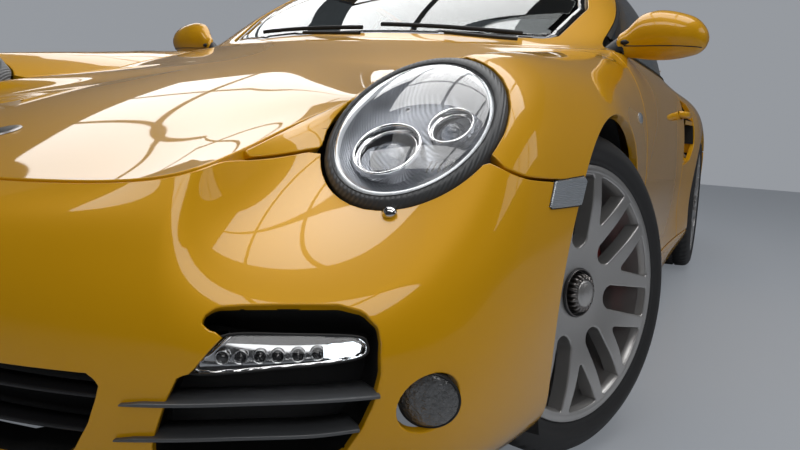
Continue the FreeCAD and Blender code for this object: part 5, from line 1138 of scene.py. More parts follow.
sheetPatch("daytimeLit", litPatch, 0.016, lampOn, "lamp_clear", 0.003)

# round lamp in its recess, and the side marker
fogAxes = axesOf(foglamp["centre"], foglamp["out"])
r = foglamp["radius"]
# near-black bowl behind the glass: painted shade inside the recess
addRound("fogBowl", fogAxes, [(0.001, -0.030), (r * 0.9, -0.026), (r * 1.02, -0.012), (r * 1.05, -0.009)], blackAndPaintedShade,
         count=64)
addRound("fogGlass", fogAxes, [(r * 0.99 * math.sin(a), -0.009 + 0.010 * math.cos(a)) for a in np.linspace(0.01, 1.57,
                                                                                                           18)],
         lensDark, count=64, replaces=["front_lamps"])
addRound("fogSeal", fogAxes, roundBead(r * 1.0, 0.0016, -0.008), rubberBlack, slot="trim_black", count=64)
marker = arr((5.21, 4.62), (5.34, 4.80), (5.90, 4.58), (5.78, 4.33))
sheetPatch("sideMarker", marker, -0.004, markerClear, "lamp_clear", 0.004, rim=0.0025, flange=0.004,
           extra=[(archField("front"), 0.003)])
sheetPatch("sideMarkerSeal", marker, -0.0012, rubberBlack, "trim_black", 0.005, grow=0.0015,
           extra=[(archField("front"), 0.002)])
repeater = axesAt(band, 8.86, 5.02)
addRound("sideRepeater", repeater, [(0.0005, 0.006), (0.010, 0.0055), (0.0155, 0.0035), (0.018, 0.0), (0.0185, -0.003)],
         markerClear, scale=(1.7, 0.8), count=40)

# liners of the wheel arches, near-black: black plastic with the shade inside the arches painted in
a = np.radians(np.linspace(-28, 208, 60))
for end, r, outer, widest in (("front", 0.372, 0.875, 0.84), ("rear", 0.385, 0.895, 0.87)):
    y = np.minimum(np.linspace(outer, 0.60, 8), widest)
    points = np.stack(np.broadcast_arrays(axles[end + "X"] + r * np.cos(a), y[:, None], axles[end + "Z"] + r * np.sin(a)),
                      -1)
    addPair(end + "Liner", bodyName, "trim_black", points, gridFaces(8, 60), blackAndPaintedShade)
print("lamps, intakes and liners made")

# wheels: worked out once on the wheel's own axes (rearward or forward, up, outward), then set at each corner
wheel = {"lip": 0.2515, "window": 0.2345, "hub": 0.046, "phase": 14.0, "count": 7, "flange": 0.030,
         "edge": 0.0035}
corners = {"front_left": ((1.286226, 0.740628, 0.327221), (0.38547, 0.91859, 0.08723), 0.1175, 0.323, 0.175, -0.037),
           "front_right": ((1.243774, -0.740628, 0.324988), (-0.38611, -0.92179, -0.03498), 0.1175, 0.323, 0.175, -0.037),
           "rear_left": ((-1.085, 0.774, 0.335438), (0.0, 0.99966, 0.02618), 0.1525, 0.333, 0.170, -0.062),
           "rear_right": ((-1.085, -0.774, 0.335438), (0.0, -0.99966, 0.02618), 0.1525, 0.333, 0.170, -0.062)}


def faceSheet(s, t):
    # front face of the wheel: s is the angle in sevenths of a turn, t the radius in metres; dished towards the hub
    a = s * tau / wheel["count"]
    inward = np.clip((0.205 - t) / 0.15, 0, 1)
    drop = 0.016 * inward ** 2 * (3 - 2 * inward)
    slope = 0.016 * 6 * inward * (1 - inward) / 0.15
    point = np.stack([t * np.cos(a), t * np.sin(a), -drop], -1)
    normal = unit(np.stack([-slope * np.cos(a), -slope * np.sin(a), np.ones_like(a)], -1))
    return point, normal


def arcPoints(x, radius, start, end, count):
    a = np.radians(np.linspace(start, end, count))
    return np.stack([x + radius * np.cos(a), radius * np.sin(a)], -1)


def windowField(phase, innerCentre, innerRadius, outerAngle):
    # outside an opening that every spoke repeats: round inner end, bowed outer side, long side along the radius
    outline = np.concatenate([arcPoints(0, wheel["window"], -outerAngle, outerAngle, 9),
                              arcPoints(innerCentre, innerRadius, 110, 250, 11)])

    def field(p, s, t):
        a = (s - np.radians(phase) * wheel["count"] / tau)
        a = (a - np.round(a)) * tau / wheel["count"]
        return -outlineDistance(outline, np.stack([t * np.cos(a), t * np.sin(a)], -1))
    return field


s, t = lines(0, 7, 7 * 41 + 1, 0.040, 0.254, 40)
facePoints, faceNormals, faceFaces = cutSheet(faceSheet, s, t, [
    (windowField(wheel["phase"], 0.153, 0.0065, 11.6), wheel["edge"]),
    (windowField(wheel["phase"] + 180 / wheel["count"], 0.117, 0.026, 7.7), wheel["edge"]),
    (lambda p, s, t: wheel["lip"] - t, 0.0), (lambda p, s, t: t - wheel["hub"], 0.0)])
facePoints, faceNormals, faceFaces = rolledEdge(facePoints, faceNormals, flipped(faceFaces), wheel["edge"],
                                                wheel["flange"])


def lathe(profile, count=120, ripple=None):
    # profile turned about the wheel's axis; a ripple scales the radius round the turn
    profile = np.asarray(profile, float)
    a = np.linspace(0, tau, count, endpoint=False)
    r = profile[:, :1] * np.ones(count)
    if ripple:
        r = r * (1 + ripple(a)[None, :] * profile[:, 2:3])
    points = np.stack([r * np.cos(a), r * np.sin(a), np.broadcast_to(profile[:, 1:2], r.shape)], -1)
    return points.reshape(-1, 3), gridFaces(len(profile), count, closedColumns=True)


def teeth(a):
    return np.clip(np.cos(a * 20) * 2.2, -1, 1)


tread = {"count": 300, "cuts": 60, "bead": 0.2525}


def tyreMesh(half, radius):
    # tyre section turned about the axis, with ring grooves and slanted cuts across the tread
    bead = tread["bead"]
    side = [(bead - 0.004, half - 0.030), (bead, half - 0.016), (bead + 0.004, half - 0.009),
            (bead + 0.012, half - 0.006),
            (bead + 0.016, half - 0.0075), (bead + 0.024, half - 0.001), (bead + 0.034, half),
            (radius - 0.030, half - 0.002),
            (radius - 0.018, half - 0.008), (radius - 0.010, half - 0.014), (radius - 0.0045, half - 0.022)]
    grooves = [0.052, 0.018, -0.018, -0.052] if half < 0.13 else [0.075, 0.027, -0.027, -0.075]
    crossing = [(radius, half - 0.034)]
    for g in grooves:
        crossing += [(radius, g + 0.0055), (radius - 0.0065, g + 0.004), (radius - 0.0065, g - 0.004),
                     (radius, g - 0.0055)]
    crossing += [(radius, -half + 0.034)]
    profile = np.array(side + crossing + [(r, -z) for r, z in side[::-1]])
    crown = np.clip((np.abs(profile[:, 1]) - half * 0.4) / (half * 0.6), 0, 1) ** 2 * 0.003
    flat = profile[:, 0] > radius - 0.001
    profile[flat, 0] -= crown[flat]
    a = np.linspace(0, tau, tread["count"], endpoint=False)[None, :]
    r, z = np.broadcast_to(profile[:, :1], (len(profile), tread["count"])).copy(), profile[:, 1:]
    cuts = (np.mod(a * tread["cuts"] / tau + np.abs(z) * 14, 1) < 0.2) & (profile[:, :1] > radius - 0.008)
    r[cuts] -= 0.0055
    points = np.stack([r * np.cos(a), r * np.sin(a), np.broadcast_to(z, r.shape)], -1)
    return points.reshape(-1, 3), gridFaces(len(profile), tread["count"], closedColumns=True)


for which, (_, _, half, radius, discRadius, discBack) in corners.items():
    origin, *turn = axesOf(arr(*corners[which][0]), unit(arr(*corners[which][1])))
    face, back = half - 0.006, -half + 0.012

    def put(name, mesh, material, slot, replaces=(), normals=None, body="wheel_" + which):
        # sets a mesh made on the wheel's own axes at this corner
        points = np.asarray(mesh[0]).reshape(-1, 3) @ np.stack(turn) + origin
        turned = None if normals is None else np.asarray(normals) @ np.stack(turn)
        addPiece(name + "_" + which, body, slot, points, mesh[1], material, turned, replaces=replaces)
    put("wheelFace", (facePoints + arr(0, 0, face), faceFaces), silver, "wheel_alloy", ["rim_" + which], faceNormals)
    put("wheelLip", lathe([(0.2315, face - 0.018), (0.2345, face - 0.004), (0.2375, face - 0.0002),
                           (0.244, face + 0.0003),
        (0.250, face + 0.0004), (0.2525, face - 0.001), (0.2535, face - 0.004), (0.2535, face - 0.014),
        (0.246, face - 0.022)]),
        silver, "wheel_alloy")
    put("wheelBarrel", lathe([(0.236, back), (0.2325, back + 0.010), (0.2315, back + 0.045), (0.2285, 0.0),
                              (0.2265, face - 0.065),
        (0.2315, face - 0.040), (0.2325, face - 0.017)]), silver, "wheel_alloy")
    put("wheelBarrelBack", lathe([(0.244, face - 0.024), (0.240, face - 0.05), (0.238, 0.0), (0.240, back + 0.01),
                                  (0.2525, back),
        (0.2525, back - 0.006), (0.236, back)]), silver, "wheel_alloy")
    put("hubBack", lathe([(0.070, discBack + 0.034), (0.074, discBack + 0.05), (0.074, face - 0.045),
                          (0.060, face - 0.030),
        (0.047, face - 0.024)]), blackSteel, "wheel_alloy")
    put("centreRing", lathe([(0.0495, face - 0.030), (0.0495, face - 0.013), (0.0480, face - 0.0105),
                             (0.0455, face - 0.0105),
        (0.0440, face - 0.013), (0.0425, face - 0.022), (0.0300, face - 0.024), (0.001, face - 0.024)][::-1]), blackSteel,
        "wheel_alloy")
    put("centreRingLine", lathe(roundBead(0.0468, 0.0011, face - 0.0100, 6)[::-1], 96), steel, "wheel_alloy")
    put("centreNut", lathe([(0.020, face + 0.0015, 0.0), (0.029, face + 0.0015, 0.02), (0.0335, face - 0.001, 0.085),
        (0.0350, face - 0.006, 0.095), (0.0350, face - 0.023, 0.095)], 240, teeth), steel, "wheel_alloy")
    put("centreCap", lathe([(0.0005, face + 0.0085), (0.012, face + 0.0080), (0.0195, face + 0.0062),
                            (0.0225, face + 0.0042),
        (0.0248, face + 0.0040), (0.0262, face + 0.0022), (0.0265, face - 0.004)], 80), silver, "wheel_alloy")
    put("tyre", tyreMesh(half, radius), tyreRubber, "tread", ["tyre_" + which])
    d0, d1 = discBack, discBack + 0.032
    put("brakeDisc", lathe([(0.092, d1 - 0.004), (0.096, d1), (discRadius - 0.002, d1), (discRadius, d1 - 0.002),
        (discRadius, d1 - 0.009), (discRadius - 0.02, d1 - 0.010), (discRadius - 0.02, d0 + 0.010),
        (discRadius, d0 + 0.009),
        (discRadius, d0 + 0.002), (discRadius - 0.002, d0), (0.078, d0)]), steel, "disc_steel", ["brake_disc_" + which])
    put("discBell", lathe([(0.073, d1 + 0.012), (0.086, d1 + 0.010), (0.092, d1 + 0.004), (0.093, d1 - 0.004)]),
        blackSteel,
        "disc_steel")
    # drilled holes drawn as near-black spots on the disc's face: painted shade
    holeAngle, holeRow = np.meshgrid(np.arange(36), np.arange(4), indexing="ij")
    ha = (holeAngle * 10 + holeRow * 3.2).ravel() * math.pi / 180
    hr = (0.110 + 0.0155 * holeRow.ravel() + (holeAngle.ravel() % 2) * 0.005)
    b = np.linspace(0, tau, 8, endpoint=False)
    centres = np.stack([hr * np.cos(ha), hr * np.sin(ha)], -1)[:, None, :] + 0.0034 * np.stack([np.cos(b), np.sin(b)], -1)
    holes = np.concatenate([centres, np.full(centres.shape[:2] + (1,), d1 + 0.0003)], -1).reshape(-1, 3)
    put("discHoles", (holes, np.arange(len(holes)).reshape(-1, 8).tolist()), blackAndPaintedShade, "disc_steel")
    # brake caliper on the rear side of the disc
    a = np.radians(np.linspace(-17, 24, 25) if which.endswith("left") else np.linspace(156, 197, 25))
    o, i0 = discRadius + 0.0285, discRadius - 0.066
    section = [(i0, d1 + 0.007), (i0, d1 + 0.030), (i0 + 0.006, d1 + 0.036), (o - 0.020, d1 + 0.036),
               (o - 0.006, d1 + 0.030),
               (o, d1 + 0.018), (o, d0 - 0.006), (o - 0.004, d0 - 0.016), (i0, d0 - 0.018)]
    points = np.array([[(r * math.cos(x), r * math.sin(x), z) for x in a] for r, z in section])
    ends = np.arange(len(section)) * len(a)
    put("brakeCaliper", (points, gridFaces(len(section), len(a)).tolist() + [ends, ends[::-1] + len(a) - 1]), caliperRed,
        None,
        body="knuckle_" + which[6:] if which.startswith("front") else bodyName)
print("wheels made")

# door mirrors: stations across the shell, with half sizes and centres
mirror = {"stations": arr((0.746, 0.016, 0.024, 0.676, 0.900), (0.752, 0.022, 0.031, 0.672, 0.903),
                          (0.768, 0.027, 0.039, 0.664, 0.909),
                          (0.800, 0.040, 0.058, 0.652, 0.927), (0.838, 0.053, 0.066, 0.645, 0.932),
                          (0.870, 0.058, 0.066, 0.641, 0.932), (0.903, 0.060, 0.061, 0.637, 0.931),
                          (0.935, 0.055, 0.052, 0.631, 0.930), (0.955, 0.046, 0.041, 0.627, 0.927),
                          (0.970, 0.028, 0.024, 0.623, 0.925), (0.9765, 0.006, 0.006, 0.621, 0.925)), "flat": 0.42}
station = smoothPath(mirror["stations"], 6)
a = np.linspace(0, tau, 56, endpoint=False)
c = np.cos(a)[None, :]
c = np.where(c < 0, mirror["flat"] * c, c)
shell = np.stack(np.broadcast_arrays(station[:, 3:4] + station[:, 1:2] * c, station[:, :1],
                                     station[:, 4:5] + station[:, 2:3] * np.sin(a)[None, :]), -1)
caps = [tuple(range(56)), tuple(((len(station) - 1) * 56 + np.arange(56))[::-1])]
faces = flipped(gridFaces(len(station), 56, closedColumns=True).tolist() + caps)
for side, piece in zip(("left", "right"), addPair("mirrorShell", "door_%s", "paint", shell, faces, paint)):
    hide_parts("mirror_" + side)


def mirrorFront(y, z):
    # the shell's forward face at a height
    hx, hz, x0, zc = (np.interp(y, station[:, 0], station[:, k]) for k in (1, 2, 3, 4))
    return np.stack([x0 + hx * np.sqrt(np.clip(1 - ((z - zc) / hz) ** 2, 0, 1)), y, np.broadcast_to(z, np.shape(y))], -1)


y = np.linspace(0.766, 0.962, 30)
addTube("mirrorSplit", "door_%s", "trim_black", mirrorFront(y, 0.8985) + arr(0.0004, 0, 0), 0.0013, rubberBlack, count=8)
y = np.linspace(0.757, 0.780, 8)
addTube("mirrorSlot", "door_%s", "trim_black", mirrorFront(y, 0.908) + arr(0.0002, 0, 0),
        0.0075 * np.sin(np.linspace(0.5, 3.0, 8)), rubberBlack, count=10)
foot = smoothPath(arr((0.684, 0.712, 0.862), (0.680, 0.728, 0.874), (0.672, 0.752, 0.895), (0.668, 0.764, 0.903)), 5)
addTube("mirrorFoot", "door_%s", "trim_black", foot, 0.021, trimBlack, count=20, squash=(1.0, 1.25))
a = np.linspace(0, tau, 48, endpoint=False)
ringY, ringZ = 0.888 + 0.070 * np.cos(a), 0.931 + 0.050 * np.sin(a)
ringX = np.interp(ringY, station[:, 0], station[:, 3] - mirror["flat"] * station[:, 1]) - 0.0035
glassPoints = np.concatenate([np.stack([np.full(48, ringX.mean()), ringY, ringZ], -1),
                              [[ringX.mean() - 0.002, 0.888, 0.931]]])
mirrorGlass = finish("mirrorGlass", (0.8, 0.82, 0.84), 0.02, 1.0, 0.0, 0.0)
addPair("mirrorGlass", "door_%s", "window", glassPoints, [(48, k, (k + 1) % 48) for k in range(48)], mirrorGlass)
bezel = np.stack([np.full(48, ringX.mean() + 0.001), ringY, ringZ], -1)
addTube("mirrorBezel", "door_%s", "trim_black", bezel, 0.004, trimBlack, count=8, closed=True)

# door handles
flankPoint = onSheet(band, *lines(9.5, 18.5, 721, 1.5, 6.8, 401))[0]


def readAt(grid, plane, wanted, a, b):
    # the wanted coordinate of the grid point nearest to each (a, b) of a plane
    a, b = np.broadcast_arrays(np.asarray(a, float), np.asarray(b, float))
    u, v, value = (grid[..., k].ravel() for k in (*plane, wanted))
    found = [value[np.argmin((u - p) ** 2 + (v - q) ** 2)] for p, q in zip(a.ravel(), b.ravel())]
    return np.array(found).reshape(a.shape)


def flankY(x, z):
    # half width of the side at (x, z)
    return readAt(flankPoint, (0, 2), 1, x, z)


handle = {"x": (-0.285, -0.292, -0.310, -0.345, -0.380, -0.392, -0.397), "z": 0.757,
          "out": (-0.002, 0.016, 0.027, 0.030, 0.029, 0.020, -0.002)}
path = np.stack([arr(*handle["x"]), flankY(arr(*handle["x"]), handle["z"]) + arr(*handle["out"]),
                 np.full(7, handle["z"])], -1)
points, faces = tube(smoothPath(path, 8), 0.0115, 20, squash=(0.75, 1.15))
addPair("doorHandle", "door_%s", "paint", points, faces[:, ::-1], paint)
a = np.linspace(0, tau, 40, endpoint=False)
ring = np.stack([-0.340 + 0.046 * np.cos(a), np.zeros(40), handle["z"] + 0.019 * np.sin(a)], -1)
ring[:, 1] = flankY(ring[:, 0], ring[:, 2]) + 0.0012
cupMiddle = [[-0.340, flankY(-0.340, handle["z"]) + 0.0012, handle["z"]]]
addPair("handleCup", "door_%s", "trim_black", np.concatenate([ring, cupMiddle]),
        [(40, (k + 1) % 40, k) for k in range(40)], glossBlack)

# air scoop in each rear side: painted ramp, dark duct, level blade
scoop = {"front": -0.415, "rear": -0.668, "low": 0.535, "high": 0.838, "depth": 0.085}
x, z = np.meshgrid(np.linspace(scoop["front"], scoop["rear"], 26), np.linspace(scoop["low"], scoop["high"], 26),
                   indexing="ij")
skinY = flankY(x, z)
inward = smoothRamp((scoop["front"] - x) / 0.20) * smoothRamp((z - 0.55) / 0.10)
ramp = np.stack([x, skinY - 0.006 - scoop["depth"] * inward, z], -1)
addPair("scoopRamp", bodyName, "paint", ramp, gridFaces(26, 26)[:, ::-1], paint)
# the duct openings are near-black sheets: painted shade
for label, low, high in (("upperDuct", 0.741, 0.806), ("lowerDuct", 0.640, 0.722)):
    z2 = np.linspace(low, high, 8)[:, None]
    y2 = flankY(np.full(8, -0.640), z2[:, 0])[:, None] + np.linspace(-0.088, -0.003, 6)[None, :]
    x2 = -0.630 - 0.015 * np.linspace(0, 1, 6)[None, :] + 0 * z2
    points = np.stack([x2, y2, z2 + 0 * x2], -1)
    addPair("scoop" + label, bodyName, "trim_black", points, gridFaces(8, 6), blackAndPaintedShade)
z2 = np.linspace(0.60, 0.835, 12)[:, None]
y2 = flankY(np.full(12, -0.662), z2[:, 0])[:, None] + np.linspace(-0.095, 0.0, 6)[None, :] - 0.004
points = np.stack([np.full(y2.shape, -0.660), y2, z2 + 0 * y2], -1)
addPair("scoopRear", bodyName, "paint", points, gridFaces(12, 6), paint)
x3 = np.linspace(-0.47, -0.655, 14)
outerY = flankY(x3, np.full(14, 0.731)) - 0.004
innerY = outerY - np.minimum(0.09, 0.01 + 0.5 * (-0.46 - x3))
section = [(0, -0.007), (1, -0.0085), (1, 0.0085), (0, 0.007)]
points = np.stack([np.stack([x3, innerY * (1 - w) + outerY * w, np.full(14, 0.731 + dz)], -1) for w, dz in section])
addPair("scoopBlade", bodyName, "paint", points, gridFaces(4, 14, closedRows=True), paint, smooth=False)

# side glass, its dark trims, and the middle pillars
s, t = lines(1.6, 9.6, 260, -0.02, 2.6, 90)
inside = insideOf(sideWindowOutline, [0, 2])
paneGrid = s[::2], t[:, ::2]
for side, flip in (("left", False), ("right", True)):
    front, rear = (lambda p, s, t: p[..., 0] + 0.401), (lambda p, s, t: -0.410 - p[..., 0])
    pane("sideGlass_" + side, "door_" + side, *paneGrid, [(inside, 0.009), (front, 0.012)], glassClear, 0.003,
         mirror=flip,
         replaces=["door_glass_" + side])
    pane("quarterGlass_" + side, bodyName, *paneGrid, [(inside, 0.009), (rear, 0.014)], glassClear, 0.003, mirror=flip)
    pane("windowTrim_" + side, bodyName, s, t, [(inside, 0.0035), (lambda p, s, t: 0.0125 - inside(p, s, t), 0.0),
         (lambda p, s, t: p[..., 2] - 0.9, 0.0)], rubberBlack, 0.0015, 0.0, flip)
    pane("doorPillar_" + side, "door_" + side, s, t, [(inside, 0.006), (front, 0.002),
                                                      (lambda p, s, t: -0.372 - p[..., 0], 0.0)],
         glossBlack, 0.0025, 0.0, flip)
    pane("sidePillar_" + side, bodyName, s, t, [(inside, 0.006), (rear, 0.002), (lambda p, s, t: p[..., 0] + 0.438, 0.0)],
         glossBlack, 0.0025, 0.0, flip)
    # rubber along the door's upper edge
    belt = onSheet(band, np.linspace(10.3, 14.4, 40), np.full(40, 6.97))[0]
    belt = belt if side == "left" else mirrorY(belt)
    addTube("beltSeal_" + side, "door_" + side, "trim_black", belt + arr(0, 0, 0.001), 0.004, rubberBlack, False, count=8)

# wipers
for k, (t0, t1, pivot) in enumerate(((2.45, 3.80, 2.35), (3.95, 5.25, 3.88))):
    along = np.linspace(0, 1, 24)
    base, normal = onSheet(top, 1.15 + 0.10 * along, t0 + (t1 - t0) * along)
    arm, armNormal = onSheet(top, 0.86 + 0.30 * along[:14] ** 1.5,
                             pivot + (t0 + (t1 - t0) * 0.5 - pivot) * along[:14] * 1.7)
    addTube("wiperBlade%d" % k, bodyName, "trim_black", base + 0.010 * normal, 0.0045, rubberBlack, False, count=8,
            squash=(0.7, 1.4))
    addTube("wiperArm%d" % k, bodyName, "trim_black", arm + 0.013 * armNormal, 0.0055, trimBlack, False,
            ["wipers"] if k == 0 else (), count=8)

# plain badge place on the bonnet, filler flap on the right wing
badge = axesAt(bonnetSheet, 0.86, 4.0, -0.001)
addTurned("badgePlace", "bonnet", "trim_black", [(0.0005, 0.0036), (0.018, 0.0033), (0.0225, 0.0022), (0.0240, 0.0)],
          badge, steel, 48, (0.95, 1.3))
a = np.linspace(0, tau, 60, endpoint=False)
flap, normal = onSheet(band, 8.05 + 0.36 * np.cos(a), 5.75 + 0.72 * np.sin(a))
addTube("fillerFlapSeam", bodyName, "trim_black", mirrorY(flap), 0.0013, rubberBlack, False, count=6, closed=True)
print("mirrors, glass, handles and trims made")

# cabin: dashboard, dials, console, steering wheel, trims and headliner
def roundedBox(centre, half, pitch=0.0, power=0.35):
    # closed superellipsoid, turned about the car's cross axis
    count, rows = 40, 22
    u = np.linspace(-math.pi / 2, math.pi / 2, rows)[:, None]
    v = np.linspace(0, tau, count, endpoint=False)[None, :]

    def soft(x):
        return np.sign(x) * np.abs(x) ** power
    p = np.stack([soft(np.cos(u)) * soft(np.cos(v)), soft(np.cos(u)) * soft(np.sin(v)), soft(np.sin(u)) + 0 * v],
                 -1) * arr(*half)
    c, s = math.cos(math.radians(pitch)), math.sin(math.radians(pitch))
    p = np.stack([p[..., 0] * c + p[..., 2] * s, p[..., 1], -p[..., 0] * s + p[..., 2] * c], -1) + arr(*centre)
    inner = p[1:-1].reshape(-1, 3)
    faces = gridFaces(rows - 2, count, closedColumns=True)[:, ::-1].tolist()
    low, high = len(inner), len(inner) + 1
    last = (rows - 3) * count
    faces += [((k + 1) % count, k, low) for k in range(count)]
    faces += [(last + k, last + (k + 1) % count, high) for k in range(count)]
    return np.concatenate([inner, [p[0, 0], p[-1, 0]]]), faces


def addBox(name, slot, centre, half, material, pitch=0.0, power=0.35):
    addPiece(name, bodyName, slot, *roundedBox(centre, half, pitch, power), material)


dash = {"profile": arr((0.470, 0.585), (0.440, 0.640), (0.434, 0.720), (0.440, 0.800), (0.462, 0.838), (0.520, 0.856),
                       (0.600, 0.851),
                       (0.690, 0.834), (0.780, 0.812), (0.872, 0.790)), "half": 0.684, "driver": 0.370}
section = smoothPath(dash["profile"], 6)
y = np.linspace(-dash["half"], dash["half"], 101)[None, :]
along = np.linspace(0, 1, len(section))[:, None]
hood = np.exp(-((y - dash["driver"]) / 0.17) ** 6) * np.exp(-((along - 0.50) / 0.17) ** 4)
recess = np.exp(-((y - dash["driver"]) / 0.155) ** 8) * np.exp(-((along - 0.33) / 0.10) ** 6)
points = np.stack([section[:, :1] + 0.030 * recess - 0.012 * hood, y + 0 * along, section[:, 1:] + 0.050 * hood], -1)
addPiece("dashboardTop", bodyName, "cabin_plastic", points, gridFaces(len(section), 101), cabinBlack,
         replaces=["dashboard"])
dialAxis = unit(arr(-1, 0, 0.12))
white = finish("dialMarks", (0.75, 0.75, 0.75), 0.6, 0.0, 0.0, 0.0)
for number, (offset, radius) in enumerate(((0, 0.052), (-0.078, 0.043), (0.078, 0.043), (-0.138, 0.033), (0.138, 0.033))):
    centre = arr(0.447 + 0.004 * abs(offset) * 10, dash["driver"] + offset, 0.787 - abs(offset) * 0.08)
    across = unit(np.cross(arr(0, 0, 1), dialAxis))
    axes = (centre, across, np.cross(dialAxis, across), dialAxis)
    profile = [(0.001, -0.002), (radius - 0.0045, -0.002), (radius - 0.004, 0.004), (radius - 0.002, 0.0055),
               (radius, 0.004), (radius, -0.012)]
    addTurned("dial%d" % number, bodyName, "cabin_plastic", profile, axes, glossBlack)
    a = np.radians(np.linspace(-220, 40, 14))
    tick = np.stack([np.cos(a), np.sin(a)], -1)[:, None, :] * arr(0.78, 0.92)[None, :, None] * radius
    side = np.stack([-np.sin(a), np.cos(a)], -1) * 0.0007
    corners4 = np.stack([tick[:, 0] - side, tick[:, 1] - side, tick[:, 1] + side, tick[:, 0] + side], 1)
    flat = corners4.reshape(-1, 2)
    marks = centre + flat[:, :1] * axes[1] + flat[:, 1:] * axes[2] - 0.0012 * dialAxis
    addPiece("dialMarks%d" % number, bodyName, "cabin_plastic", marks, np.arange(len(marks)).reshape(-1, 4).tolist(),
             white, smooth=False)
addBox("dashScreen", "cabin_plastic", (0.446, 0, 0.735), (0.010, 0.105, 0.050), glossBlack, -4, 0.18)
addBox("consoleFace", "cabin_plastic", (0.415, 0, 0.590), (0.030, 0.110, 0.085), cabinBlack, -24, 0.25)
addBox("tunnelConsole", "cabin_plastic", (0.140, 0, 0.395), (0.330, 0.112, 0.075), cabinBlack, 6, 0.3)
addBox("armrestLid", "cabin_plastic", (-0.080, 0, 0.485), (0.130, 0.085, 0.030), leather, 0, 0.4)
# centre and side vents: their openings are near-black blocks, painted shade
for sideY in (-0.057, 0.057):
    addBox("centreVent%s" % ("Left" if sideY > 0 else "Right"), "cabin_plastic", (0.438, sideY, 0.812),
           (0.006, 0.046, 0.017),
           blackAndPaintedShade, -12, 0.2)
for number, (place, height) in enumerate(((-0.60, 0.790), (0.62, 0.790))):
    addBox("sideVent%d" % number, "cabin_plastic", (0.440, place, height), (0.008, 0.048, 0.024), blackAndPaintedShade, -8, 0.3)
for number in range(3):
    knob = (arr(0.392, -0.055 + 0.055 * number, 0.560), arr(0, 1, 0), unit(arr(0.35, 0, 1)), unit(arr(-1, 0, 0.35)))
    addTurned("consoleKnob%d" % number, bodyName, "cabin_plastic",
              [(0.0005, 0.013), (0.015, 0.0125), (0.017, 0.010), (0.017, -0.01)], knob, trimBlack, 32)
lever = (arr(0.205, 0, 0.455), arr(1, 0, 0), arr(0, 1, 0), arr(0, 0, 1))
addTurned("gearLever", bodyName, "cabin_plastic", [(0.0005, 0.112), (0.016, 0.108), (0.021, 0.092), (0.018, 0.075),
          (0.008, 0.066), (0.007, 0.045), (0.022, 0.030), (0.045, 0.005), (0.052, -0.010)], lever, leather, 40)

# steering wheel on its leaning column
wheelLean = math.radians(24)
wheelAxis = arr(-math.cos(wheelLean), 0, math.sin(wheelLean))
wheelSide = arr(0, 1, 0)
wheelUp = unit(np.cross(wheelSide, wheelAxis))
steer = {"centre": arr(0.330, 0.370, 0.790), "radius": 0.180, "grip": 0.0150}
a = np.linspace(0, tau, 128, endpoint=False)[:, None]
ring = steer["centre"] + steer["radius"] * (np.cos(a) * wheelSide + np.sin(a) * wheelUp)
addTube("steeringRim", bodyName, "seat_leather", ring, steer["grip"], leather, False, ["steering_wheel"], count=20,
        closed=True, up=wheelAxis)
for number, direction in enumerate((wheelSide, -wheelSide, -wheelUp)):
    path = steer["centre"] - 0.012 * wheelAxis + np.linspace(0.03, steer["radius"], 12)[:, None] * direction \
        + (0.012 * np.linspace(0, 1, 12)[:, None] ** 2) * wheelAxis
    addTube("steeringSpoke%d" % number, bodyName, "wheel_alloy", path, np.linspace(0.019, 0.0125, 12), silver, False,
            count=16,
            squash=(1.0, 0.4), up=wheelAxis)
axes = (steer["centre"], wheelSide, wheelUp, np.cross(wheelSide, wheelUp))
points = turnedPoints([(0.0005, -0.020), (0.040, -0.018), (0.058, -0.010), (0.064, 0.004), (0.060, 0.022),
                       (0.030, 0.045), (0.030, 0.130)], axes, (1, 1), 56)
addPiece("steeringHub", bodyName, "cabin_plastic", points, turnedFaces(7, 56)[:, ::-1], cabinBlack)

# door trims with armrests, and the rear side trims
x, z = np.meshgrid(np.linspace(0.748, -0.392, 48), np.linspace(0.262, 0.868, 30), indexing="ij")
rest = np.exp(-((z - 0.600) / 0.045) ** 4) * smoothRamp((0.60 - x) / 0.15) * smoothRamp((x + 0.33) / 0.10)
pocketBulge = np.exp(-((z - 0.36) / 0.09) ** 4) * smoothRamp((0.68 - x) / 0.1) * smoothRamp((x + 0.20) / 0.1)
trim = np.stack([x, np.minimum(flankY(x, z), 0.862) - 0.100 - 0.052 * rest - 0.030 * pocketBulge, z], -1)
addPair("doorTrim", "door_%s", "cabin_plastic", trim, gridFaces(48, 30), cabinBlack)
x, z = np.meshgrid(np.linspace(-0.395, -0.655, 14), np.linspace(0.20, 0.885, 24), indexing="ij")
trim = np.stack([x, 0.685 - 0.10 * (-0.395 - x) / 0.26 - 0.03 * smoothRamp((z - 0.6) / 0.28), z], -1)
addPair("rearTrim", bodyName, "cabin_plastic", trim, gridFaces(14, 24), cabinBlack)
s, t = lines(0.9, 9.2, 116, 0.12, 7.88, 92)
points, normals, faces = cutSheet(top, s, t, [(screenHole, -0.012), (rearHole, -0.012), (sideHole, -0.008)], 0.030)
addPiece("headliner", bodyName, "cabin_plastic", points, flipped(faces), headliner, -np.asarray(normals))
print("cabin made")

# linings under the bonnet and the engine lid
for name, body, sheet, grid, fields in (
        ("bonnetLining", "bonnet", bonnetSheet, lines(0.0, 6.0, 60, 0.0, 8.0, 70), [bonnetEdge]),
        ("engineLidLining", "engine_lid", top, lines(9.33, 11.95, 50, 0.05, 7.95, 70), lidEdges)):
    points, normals, faces = cutSheet(sheet, *grid, [(field, 0.006) for field in fields], 0.011)
    addPiece(name, body, "trim_black", points, flipped(faces), trimBlack, -np.asarray(normals))

# seats: rounded blocks melted into one form, then puffed by cloth pressure
seat = {"voxel": 0.0165, "cap": 0.010, "pressure": 4.0}


